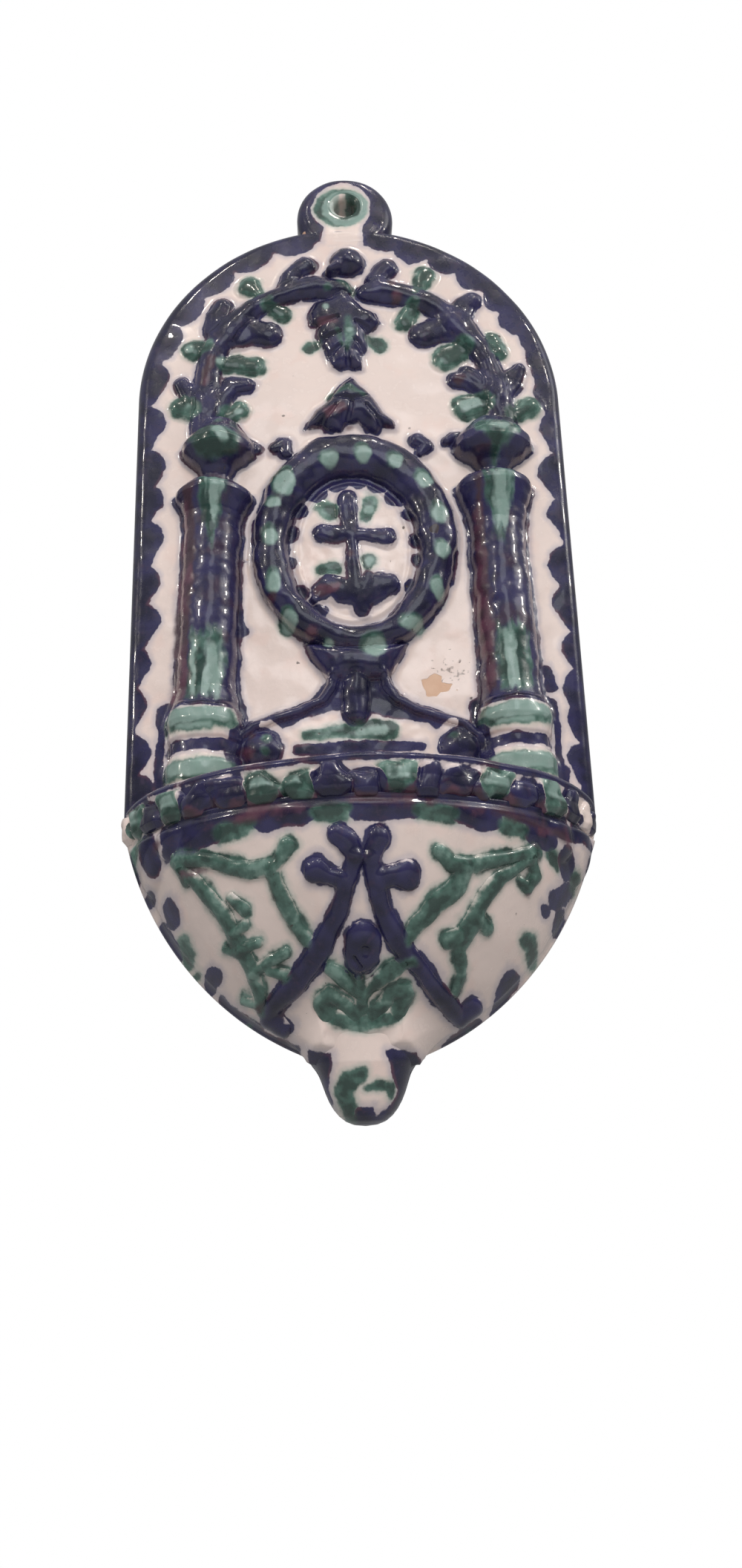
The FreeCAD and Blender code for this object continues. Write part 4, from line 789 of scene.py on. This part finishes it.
# Paint on the bowl, seen from the front: bands under the rim, then the strokes.
bands = strokes("""cobalt -43 -32; copper -34 -24; cobalt -25 -11; copper -12.6 -3; cobalt -4 12;
    copper 10 20.6; cobalt 18.6 30; copper 29 37; cobalt 36 44""")
for colour, [(left, right)] in bands:
    dab(belly, colour, [(x, -band["down"] - band["sag"] * x * x, 2.2) for x in (left + 2, right - 2)])
x, z = belly["brushSpot"]
drawn = (belly["x"], belly["z"])
under = np.minimum(z + 195.3 + 0.0016 * x**2, 46.5 - np.abs(x) + 1.5 * lumps(*drawn, 5, 98))
addPaint(belly, "cobalt", under)
# The brown line in the groove just under the rim is painted shade under its overhang.
addPaint(belly, "brown", 0.1 - np.abs(under - 1.0) * 0.6 + 1.3 * lumps(*drawn, 8, 95))
brush(belly, """cobalt -51.2 -195.4 2.6, -50 -199.6 2.5, -48.9 -202 2; -56.6 -198 1.4, -55 -202.6 1.5;
    -43.6 -197 2.6, -45 -200 1.6; -51.4 -207.4 1.6; 51 -195.4 2.8, 54 -196.6 1.8; 55.6 -199.6 1.4,
    54.4 -203.6 1; 47.4 -202 2.6, 48 -205.4 1.8; 45 -196.4 2.2, 48.6 -196.6 2; -45.4 -210.2 2,
    -44.8 -213.2 2.2; -48.2 -214 1.3, -44 -221 1.2; -35.4 -226.6 2.3, -36.6 -229 1.5; -33.7 -231.9 1.5,
    -25.5 -238.8 1.3; -24 -240 1, -16 -243.4 0.9; 48.8 -208.6 1.8, 45 -211.4 2.4; 42 -214 1.5; 46.4 -214.6 2,
    45.4 -217.4 1.2; 33.8 -229.2 2.5, 31.6 -232.8 2, 29.6 -235.8 1.1; 26 -238.4 0.9, 18 -243 0.9;
    copper 43 -202.4 1.7, 44.6 -204.6 1; -53 -194.6 1.4, -55.4 -200 0.9; -42.8 -218.2 1.7, -41.6 -222 1.9;
    -39.6 -225.6 1; 37.7 -220.9 2.2, 39 -224.8 1.5; 50.4 -205.6 1.5, 50 -208.2 1.2; -27.4 -237.6 1.2;
    24 -240.6 1; -1.6 -249.8 1.5, -4.4 -250.6 2, -5.8 -253.6 2.2, -5 -257.2 1.8, -4.4 -259.6 1.4;
    -0.4 -252.9 0.8, 2 -252.3 1.2, 4.2 -252.8 1.2, 4.2 -254.6 0.8; brown -48 -198 1; -39.6 -204.6 0.5,
    -35.6 -205.4 0.4; 36.6 -211.6 0.4; 40 -197.6 1.2; -19 -195 0.8; 14 -194.8 0.9; -24 -233.4 0.8""")
dripBlue = ("-13.6 -244, -8.4 -244.6, -8 -247.2, -8.6 -250, -8.9 -253, -8.2 -257, -11 -257.4, -13.6 -250",
            """3.8 -244.8, 10.8 -245, 12.4 -247, 10.6 -254, 6 -260, 2.2 -261, -4.8 -261, -3.4 -256.9,
            0.6 -256.7, 1.6 -258.2, 4.6 -256.2, 6.2 -253.4, 5 -250.4, 4.2 -247.4""")
for corners in dripBlue:
    paintShape(belly, "cobalt", points(corners), 0.0)
scatter(belly, 30, 50, -245, -200, 0.28)
print("paint laid out")


def colour(red, green, blue):
    return (red, green, blue, 1.0)


def mixed(share, first, second):
    return share.node("Mix", {"data_type": "RGBA"}, {0: share, 6: first, 7: second}, 2)


def stepped(value, low, high, to=1.0):
    return value.node("MapRange", {"interpolation_type": "SMOOTHSTEP"},
                      {0: value, 1: low, 2: high, 3: 0.0, 4: to})


def mixedValue(share, first, second):
    return share.node("Mix", {"data_type": "FLOAT"}, {0: share, 2: first, 3: second})


glaze = {"whiteA": (0.82, 0.68, 0.62), "whiteB": (0.77, 0.64, 0.585), "whiteC": (0.80, 0.61, 0.545),
         "whiteHollowShade": (0.40, 0.38, 0.38), "whiteRidge": (0.66, 0.52, 0.47),
         "cobaltHalo": (0.30, 0.30, 0.40), "copperHalo": (0.36, 0.43, 0.38),
         "blueA": (0.005, 0.005, 0.026), "blueB": (0.027, 0.024, 0.094), "blueC": (0.045, 0.024, 0.070),
         "blueRidgeThinAndSheen": (0.055, 0.048, 0.11), "greenA": (0.010, 0.042, 0.033), "greenB": (0.048, 0.120, 0.095),
         "greenC": (0.15, 0.255, 0.215), "mintA": (0.20, 0.32, 0.275), "mintB": (0.37, 0.49, 0.45),
         "manganeseA": (0.055, 0.022, 0.031), "manganeseB": (0.125, 0.044, 0.072),
         "clayA": (0.62, 0.38, 0.26), "clayB": (0.74, 0.52, 0.38), "fleck": (0.05, 0.035, 0.03),
         "halo": 0.45, "gloss": 0.22, "coat": 0.6, "bump": 0.7, "ripple": 0.00025}


def makeGlaze(name):
    # One glaze recipe: white ground, brushed cobalt and copper, bare clay where it is chipped.
    material = bpy.data.materials.new(name)
    material.use_nodes = True
    tree = material.node_tree
    shader = tree.nodes["Principled BSDF"]
    start = Wire(tree)
    place = start.node("TexCoord", out=3)
    tone = {key: colour(*value) for key, value in glaze.items() if isinstance(value, tuple)}

    def noise(size, detail, shift):
        # Cloudy values whose patches are about size millimetres wide.
        away = (shift, shift * 0.7, -shift)
        moved = start.node("VectorMath", {"operation": "ADD"}, {0: place, 1: away})
        return start.node("TexNoise", {}, {"Vector": moved, "Scale": 1 / mm / size, "Detail": detail})

    fine, small = noise(0.9, 2.0, 0.1), noise(2.6, 3.0, 0.3)
    middle, broad = noise(7.0, 2.0, 0.5), noise(22.0, 2.0, 0.7)
    fineWave, smallWave, middleWave = fine - 0.5, small - 0.5, middle - 0.5
    depth = {key: start.node("Attribute", {"attribute_name": key}, out=2)
             for key in pigments + ("rise",)}

    def frayed(key, waver, low, high, to=1.0):
        # A pigment's cover, with an edge that wavers.
        return stepped(depth[key] + smallWave * waver, low, high, to)

    cobalt = stepped(depth["cobalt"] + smallWave * 1.0 + fineWave * 0.5, -0.16, 0.16)
    copperDepth = depth["copper"] + smallWave * 1.6 + fineWave * 0.5
    copper = mixedValue(cobalt, stepped(copperDepth, -0.5, 0.35, 0.97), stepped(copperDepth, -0.3, 1.3, 0.97))
    clay = frayed("clay", 0.6, -0.08, 0.08)
    fleck = stepped(depth["fleck"] + fineWave * 0.3, -0.08, 0.1, 0.8)
    ridge = stepped(depth["rise"], 0.15, 0.7)
    hollow = stepped(0.0 - depth["rise"], 0.1, 0.6)

    white = mixed(stepped(broad + smallWave * 0.4, 0.35, 0.65), tone["whiteA"], tone["whiteB"])
    halo = glaze["halo"]
    # The grey in hollows is painted shade; the warmer tone on ridges is the thinner glaze there.
    for share, over in ((stepped(middle, 0.52, 0.72, 0.5), "whiteC"), (hollow * 0.35, "whiteHollowShade"),
                        (ridge * 0.30, "whiteRidge"), (frayed("cobalt", 1.6, -1.9, 0.1, halo), "cobaltHalo"),
                        (frayed("copper", 1.6, -1.6, 0.0, halo * 1.2), "copperHalo")):
        white = mixed(share, white, tone[over])
    manganese = mixed(stepped(middle, 0.4, 0.62), tone["manganeseA"], tone["manganeseB"])
    thick = depth["cobalt"] * 0.08 + middleWave * 1.5 + smallWave * 0.45
    blue = mixed(stepped(thick, -0.3, 0.5), tone["blueB"], tone["blueA"])
    blue = mixed(stepped(small + fineWave * 0.6, 0.56, 0.76, 0.5), blue, tone["blueC"])
    # Lighter blue on ridges: thinner cobalt there, and a painted highlight.
    blue = mixed(ridge * 0.4, blue, tone["blueRidgeThinAndSheen"])
    blue = mixed(stepped(0.9 - depth["cobalt"], 0.0, 0.8) * stepped(middle, 0.5, 0.64, 0.6), blue, manganese)
    # Darker green in hollows: the copper lies thicker there, and the dark is also painted shade. It is paler
    # where the copper runs thin on ridges.
    poolAndShade = depth["copper"] * 0.3 + smallWave * 2.3 + middleWave * 2.0 - depth["rise"] * 0.7
    green = mixed(stepped(poolAndShade, -0.45, 0.15), tone["greenC"], tone["greenB"])
    green = mixed(stepped(poolAndShade, 0.05, 0.75), green, tone["greenA"])
    green = mixed(hollow * 0.7, green, tone["greenA"])
    paint = white
    for share, over in ((cobalt, blue), (copper, green),
                        (frayed("mint", 1.4, -0.5, 0.6, 0.75), mixed(small, tone["mintA"], tone["mintB"])),
                        (frayed("brown", 1.8, -0.9, 0.8, 0.85), manganese), (fleck, tone["fleck"]),
                        (clay, mixed(small, tone["clayA"], tone["clayB"]))):
        paint = mixed(share, paint, over)
    gloss = glaze["gloss"] + stepped(small, 0.4, 0.8, 0.10) + cobalt * 0.04
    ripple = smallWave * 0.24 + fineWave * 0.03 + middleWave * 0.7 + (cobalt + copper) * 0.10
    ripple = ripple - fleck * 0.35 - clay * 0.6
    normal = start.node("Bump", {}, {"Height": ripple, "Strength": glaze["bump"],
                                     "Distance": glaze["ripple"]})
    gloss = mixedValue(clay, gloss, 0.85)
    coat = mixedValue(clay, glaze["coat"], 0.0)
    looks = {"Base Color": paint, "Roughness": gloss, "Normal": normal, "Coat Weight": coat}
    for socket, wire in looks.items():
        tree.links.new(wire.socket, shader.inputs[socket])
    shader.inputs["Coat Roughness"].default_value = 0.03
    shader.inputs["IOR"].default_value = 1.5
    return material


glazes = {name: makeGlaze(name + "_mat") for name in ("white_glaze", "cobalt_glaze", "green_glaze")}
print("glazes mixed")

slots = {"medallion": "white_glaze", "pedestal_foot": "white_glaze"}
for node in ("pendant_leaf", "palmette", "bowl_fleur") + tuple(
        f"{side}_{part}" for side in ("left", "right")
        for part in ("column_base", "outer_leaves", "inner_leaves", "upper_spray", "lower_spray")):
    slots[node] = "green_glaze"
for board, place, floor in ((front, onPlate, -1.1), (belly, onBowl, -1.2)):
    for node in board["height"]:
        slotName = slots.get(node, "cobalt_glaze")
        reliefPiece(board, node, place, glazes[slotName], slotName, floor)
print("relief modelled")


def turned(profile, steps, shape=None):
    # Sweeps a closed profile of (radius, z) round the bowl's axis, up to the plate on both sides.
    r, z = (np.array(column)[:, None] + np.zeros((1, steps)) for column in zip(*profile))
    turn = np.linspace(-1, 1, steps)[None, :] * np.arccos(np.clip(bowl["halfTurn"] / r, -1, 1))
    if shape:
        r, z = shape(r, z, turn)
    return r * np.sin(turn), bowl["axis"] - r * np.cos(turn), z, turn


def closed(x, y, z, paint):
    # A swept closed profile as points, faces and paint.
    return weld(np.stack([x, y, z], -1).reshape(-1, 3), gridFaces(*x.shape, wrapRows=True), paint)


def makeBasin():
    bend, well, low = bowl["floorBend"], 21.0, bowl["floorZ"]
    outer = [(float(bowlRadius(z)), z) for z in np.arange(bowl["topZ"], bowl["tipZ"], -0.4)]
    outer.append((well, bowl["tipZ"]))
    floor = [(well, -243.0), (well, -239.0), (well, low)] + [(r, low) for r in np.arange(22, 28.6, 1)]
    bendR = float(bowlRadius(low)) - bowl["wall"]
    corner = [(bendR - bend + bend * sin(a), low + bend - bend * cos(a))
              for a in np.linspace(0.2, 1.3, 6)]
    inner = [(float(bowlRadius(z)) - bowl["wall"], z) for z in np.arange(-232.4, bowl["topZ"], 0.8)]
    profile = outer + floor + corner + inner + [(55.2, bowl["topZ"]), (57.5, bowl["topZ"])]
    count = len(outer)
    x, y, z, turn = turned(profile, 320)
    # Only the outside is lifted by the relief; these are views into the swept arrays.
    ox, oy, oz = x[:count], y[:count], z[:count]
    lift = readBoard(belly, belly["ground"], ox, oz)
    fade = unit((rim["footZ"] - oz) / 1.2) * unit((-oy - 9.6) / 3)
    outward = (np.array([p[0] for p in outer])[:, None] - bowl["centre"]) / bowl["curve"]
    upward = (oz - bowl["centreZ"]) / bowl["curve"]
    near = unit(1 - (-oy - 9) / 3.2)
    apart = np.hypot(ox - drip["x"], oy - drip["y"]) - 11.7
    root = unit(1 - apart / drip["fillet"]) * unit((-oz - 233) / 6)
    lift = lift * fade + 0.8 * near**2 + root**2 * drip["fillet"] / 4
    ox += lift * outward * np.sin(turn[:count])
    oy -= lift * outward * np.cos(turn[:count])
    oz += lift * upward * fade
    found = paintAt(belly, ox.ravel(), oz.ravel())
    return closed(x, y, z, joinPaint(found, noPaint((len(profile) - count) * x.shape[1])))


rim = {"radius": 60.4, "outermost": 63.05, "topZ": -183.5, "footZ": -193.8, "end": 1.6, "steps": 900}


def makeRim():
    radius, end = rim["radius"], rim["end"]
    turns = np.radians([turn for kind, turn in frills])
    edges = np.concatenate([[-end], (turns[1:] + turns[:-1]) / 2, [end]])
    jitter = np.random.default_rng(15).uniform(-1, 1, (len(frills), 4))
    inner = points("55.3 -193.4, 55.3 -191, 55.3 -188, 55.35 -186, 55.6 -184.7, 56.4 -183.9")
    lip = points("57.6 -183.55, 59 -183.5, 60.2 -183.65, 61.1 -184, 61.7 -184.6, 61.8 -185.3, 61.4 -185.9")
    frill = [(radius, float(z)) for z in np.linspace(-186.3, -193.4, 30)]
    profile = inner + lip + frill + [(59.2, rim["footZ"]), (57, rim["footZ"])]
    first = len(inner) + len(lip)
    last = first + len(frill)
    rows = np.arange(len(profile))[:, None]
    onFrill = (rows >= first) & (rows < last)

    def frillDepth(turn, z):
        # Depth inside the nearest thumbed lobe, and that lobe's number.
        best, owner = np.full(turn.shape, farAway), np.zeros(turn.shape, int)
        for number, (lean, up, tall, grow) in enumerate(jitter):
            left, right = edges[number], edges[number + 1]
            side = float(unit((abs(turns[number]) - 0.6) / 0.4))
            wide, height = (right - left) / 2 * radius * (1.14 - 0.16 * side), 3.6 + 0.8 * tall + 1.0 * side
            along = (turn - (left + right) / 2) * radius - 0.45 * lean * (z + 190)
            level = z + 190.1 - 0.8 * up + 0.3 * side
            scale = np.power(np.abs(along / (wide + 0.6 * grow))**2.1 + np.abs(level / height)**2.1, 1 / 2.1)
            depth = (1 - scale) * min(wide, height)
            owner = np.where(depth > best, number, owner)
            best = np.maximum(best, depth)
        return best, owner

    def shape(r, z, turn):
        u = turn * radius
        depth, owner = frillDepth(turn + 0.024 * lumps(u, z, 3.6, 5), z + 1.3 * lumps(u, z, 3.8, 6))
        bulge = np.sqrt(1 - (1 - unit(depth / 3.2))**2) * (0.86 + 0.14 * jitter[owner, 2])
        groove = np.clip(-depth, 0, 0.8) * unit((-z - 188) / 2)
        out = radius + 0.9 * unit((z + 189) / 3)
        out = out + 2.3 * bulge * np.clip((z + 194.4) / 2.4, 0.1, 1) - groove
        out = out + 0.15 * lumps(u, z, 2.5, 8) + 0.25 * bulge * lumps(u, 0.4 * z, 1.6, 7)
        r = np.where(onFrill, out, r) + 0.25 * lumps(u, z, 9, 9) * ((rows > 3) & (rows < first))
        z = z + 0.35 * lumps(u, 0 * turn, 11, 10) * unit((z + 190) / 4)
        return np.minimum(r, rim["outermost"]), np.minimum(z, rim["topZ"])

    x, y, z, turn = turned(profile, rim["steps"], shape)
    u = turn * radius
    found = noPaint(x.size)
    depth, owner = frillDepth(turn + 0.022 * lumps(u, z, 3.2, 15), z + 1.3 * lumps(u, z, 3.2, 16))
    painted = (rows >= first - 1) & (rows <= last + 1)
    depth = np.where(painted, depth + 0.3, farAway)
    lipDepth = 0.95 + 0.35 * np.clip(turn, -1, 1) - np.abs(rows - (first - 2.6)) * 0.6
    lipDepth = lipDepth + 0.5 * lumps(u, 0.5 * z, 3.4, 12)
    lipDepth = np.where((rows > first - 9) & (rows < first + 2), lipDepth, farAway)
    kinds = np.array([kind for kind, middle in frills])[owner]
    low = np.minimum(-190.4 - z, 0.9 - depth) + 0.5 * jitter[owner, 3] + 0.6 * lumps(u, z, 3, 17)
    low = np.where(painted, low, farAway) - 4 * unit((np.abs(turn) - 0.7) / 0.2)
    blue, green = (np.where(kinds == kind, depth, farAway) for kind in ("cobalt", "copper"))
    pale = np.where(kinds == "copper", np.minimum(depth - 1.9 + lumps(u, z, 2.2, 19), z + 190), farAway)
    rise = np.where(onFrill, 0.5 * (np.hypot(x, y - bowl["axis"]) - 61.6) / 1.2, 0)
    blue = np.maximum(np.maximum(blue, lipDepth), low)
    # Brown in the grooves between the frills' lower ends, under the rim's overhang: painted shade.
    grooveShade = np.minimum(low - 0.4, 0.7 - depth + 1.2 * lumps(u, z, 7, 18))
    for key, field in (("cobalt", blue), ("copper", green), ("mint", pale), ("brown", grooveShade), ("rise", rise)):
        found[key] = field.ravel()
    return closed(x, y, z, found)


def makeFinial():
    # A turned drip whose root runs up into the bowl's belly.
    outline, steps, sides = drip["outline"], drip["steps"], drip["sides"]
    length = np.concatenate([[0], np.cumsum([dist(a, b) for a, b in zip(outline, outline[1:])])])
    at = np.linspace(0, length[-1], steps)
    turn = np.linspace(0, 2 * pi, sides, endpoint=False)[None, :]
    r, z = (np.interp(at, length, column)[:, None] + 0 * turn for column in zip(*outline))
    x, y = drip["x"] + r * np.sin(turn), drip["y"] - r * np.cos(turn)
    apart = np.hypot(x, y - bowl["axis"]) - bowlRadius(np.maximum(z, -255))
    near = unit(1 - 0.8 * apart / drip["fillet"])
    r = r + near**2 * drip["fillet"] / 4 * np.clip((y + 24) / 6, 0.2, 1) * (z < -240)
    r = r + 0.25 * lumps(x, z, 9, 71) * unit((-z - 244) / 3) * (z > -260)
    x, y = drip["x"] + r * np.sin(turn), np.minimum(drip["y"] - r * np.cos(turn), -0.2)
    faces = gridFaces(steps, sides, wrapCols=True)
    return weld(np.stack([x, y, z], -1).reshape(-1, 3), faces[:, ::-1], paintAt(belly, x.ravel(), z.ravel()))


lug = {"reach": 14.2, "middle": -3.1, "thick": 8.5, "hole": 3.0, "lip": 6.2, "round": 3.4, "sides": 200}


def makeLug():
    # A pierced disc, its middle below the hole's. Each loop: share of the way out, inset of the edge, and y.
    thick, hole, lip, bend = lug["thick"], lug["hole"], -lug["lip"], lug["round"]
    loops = [(0.0, 0.0, y) for y in np.linspace(0, lip, 9)]
    loops += [(0.0, -1.7 * (1 - cos(a)), lip - 2.1 * sin(a))
              for a in np.linspace(0.2, pi / 2, 6)]
    loops += [(s, None, -thick) for s in np.linspace(0.08, 1.0, 16)]
    loops += [(1.0, bend * (1 - sin(a)), -thick + bend * (1 - cos(a)))
              for a in np.linspace(0, pi / 2, 8)[1:]]
    loops += [(1.0, 0.0, -2.5), (1.0, 0.0, -0.6)] + [(s, 0.5, 0.0) for s in (1.0, 0.75, 0.5, 0.25)]
    turn = np.linspace(0, 2 * pi, lug["sides"], endpoint=False)
    edge = lug["middle"] * np.sin(turn) + np.sqrt(lug["reach"]**2 - (lug["middle"] * np.cos(turn))**2)
    spots = []
    for share, inset, y in loops:
        if share == 0:
            radius = hole - inset + 0 * turn
        elif inset is None:
            radius = 4.7 + share * (edge - bend - 4.7)
        else:
            radius = hole + share * (edge - inset - hole)
        x, z = radius * np.cos(turn), radius * np.sin(turn)
        level = y + 0 * turn
        if y > -0.1:
            level = level - 0.2 * (np.hypot(x, z + holeMiddle - plate["archZ"]) < plate["halfWidth"] + 0.3)
        if y < -4:
            level = level + (0.14 * lumps(x, z, 6, 21) + 0.06 * lumps(x, z, 2.5, 22))
            level = level - 0.62 * unit((-z - 7) / 5) * (y < -thick + 1)
            level = level + 2.2 * unit((-z - 13.6) / 3)**2
        spots.append(np.stack([x, level, z + holeMiddle], -1))
    flat = np.stack(spots).reshape(-1, 3)
    x, y, z = flat.T
    found = paintAt(front, x, z)
    found["clay"] = np.where(y > -0.25, 3.0, found["clay"])
    inHole = np.hypot(x, z - holeMiddle) < 4.4
    found["copper"] = np.where(inHole, x - 0.4, found["copper"])
    found["mint"] = np.where(inHole, -1.6 - x, found["mint"])
    return weld(flat, gridFaces(len(loops), lug["sides"], wrapCols=True, wrapRows=True), found)


for node, maker in (("back_slab", makeBack), ("basin", makeBasin), ("frilled_rim", makeRim),
                    ("drip_finial", makeFinial), ("hanging_lug", makeLug)):
    makePiece(node + "_glazed", *maker(), glazes["white_glaze"], "white_glaze", node)
    print(node, "modelled")


# Lamps: place, watts, radius and tint. The first lights the clay, the others only glint in the glaze.
lamps = [((0.12, -1.14, 0.48), 31.5, 0.3, (1.0, 0.98, 0.97)),
         ((0.02, -0.62, 0.2), 0.85, 0.12, (0.92, 0.96, 1.0))]
lamps += [(place, 2.2, 0.021, (1, 0.93, 0.82)) for place in (
    (-0.5, -0.6, 0.35), (0.1, -0.35, 0.62), (0.34, -0.6, 0.5), (-0.2, -0.8, 0.75), (-0.7, -0.35, 0.12),
    (0.6, -0.3, 0.25))]
for number, (place, power, size, tint) in enumerate(lamps):
    lamp = bpy.data.lights.new(f"lamp_{number}", "POINT")
    lamp.energy = power
    lamp.color = tint
    lamp.shadow_soft_size = size
    holder = bpy.data.objects.new(f"lamp_{number}", lamp)
    holder.location = place
    holder.visible_camera = False
    holder.visible_glossy = number > 0
    holder.visible_diffuse = number == 0
    bpy.context.scene.collection.objects.link(holder)

world = bpy.data.worlds.new("studio")
bpy.context.scene.world = world
world.use_nodes = True
sky = world.node_tree
path = Wire(sky).node("LightPath", out=0)
seen = Wire(sky, path.socket.node.outputs["Is Camera Ray"])
mirrored = Wire(sky, path.socket.node.outputs["Is Glossy Ray"])
through = Wire(sky, path.socket.node.outputs["Is Transmission Ray"])
shown = seen.maths("MAXIMUM", seen, through)
plain = sky.nodes["Background"]
plain.inputs["Color"].default_value = (1.0, 1.0, 1.0, 1.0)
compass = path.node("TexCoord", out=0)
upward = stepped(compass.node("SeparateXYZ", {}, {0: compass}, 2), -0.15, 0.75)
windowWay = (0.72, -0.38, 0.58)
facing = compass.node("VectorMath", {"operation": "DOT_PRODUCT"}, {0: compass, 1: windowWay}, 1)
reflected = 0.07 + upward * 0.30 + stepped(facing, 0.95, 0.985, 1.3)
strength = mixedValue(mirrored, 0.50 + upward * 0.44, reflected)
sky.links.new(mixedValue(shown, strength, 1.0).socket, plain.inputs["Strength"])

studio = {"reach": 4, "level": -0.45, "paper": (0.88, 0.88, 0.88), "bounce": (0.30, 0.30, 0.30)}
reach, level = studio["reach"], studio["level"]
ground = bpy.data.meshes.new("studio_floor")
corners = [(-reach, -reach, level), (reach, -reach, level), (reach, reach, level), (-reach, reach, level)]
ground.from_pydata(corners, [], [(0, 1, 2, 3)])
groundPiece = bpy.data.objects.new("studio_floor", ground)
bpy.context.scene.collection.objects.link(groundPiece)
paper = bpy.data.materials.new("studio_paper")
paper.use_nodes = True
sheet = paper.node_tree
matt = sheet.nodes["Principled BSDF"]
matt.inputs["Roughness"].default_value = 0.95
seen = Wire(sheet).node("LightPath", out=0)
place = seen.node("TexCoord", out=3)
away = place.node("VectorMath", {"operation": "LENGTH"}, {0: place}, 1)
white = seen.node("Emission", {}, {"Color": (1, 1, 1, 1), "Strength": 1.0})
tint = mixed(seen, colour(*studio["bounce"]), colour(*studio["paper"]))
sheet.links.new(tint.socket, matt.inputs["Base Color"])
fade = seen * stepped(away, 0.19, 0.34)
both = seen.node("MixShader", {}, {0: fade, 1: Wire(sheet, matt.outputs[0]), 2: white})
sheet.links.new(both.socket, sheet.nodes["Material Output"].inputs["Surface"])
ground.materials.append(paper)

# The camera stands low in front and looks up. Its place is in millimetres, its turns in degrees.
view = {"place": (-7.7, -289.7, -267.2 - holeMiddle), "sensor": 36, "lens": 1588 * 36 / 2114,
        "turns": ((-2.1, "Z"), (17.54, "X"), (1.74, "Y"), (90, "X"))}
lens = bpy.data.cameras.new("camera")
lens.sensor_width = view["sensor"]
lens.lens = view["lens"]
lens.clip_start = 0.01
camera = bpy.data.objects.new("camera", lens)
bpy.context.scene.collection.objects.link(camera)
stand = Matrix.Translation([length * mm for length in view["place"]])
for angle, axis in view["turns"]:
    stand = stand @ Matrix.Rotation(radians(angle), 4, axis)
camera.matrix_world = stand
bpy.context.scene.camera = camera
bpy.context.scene.view_settings.view_transform = "Standard"

print("scene ready")
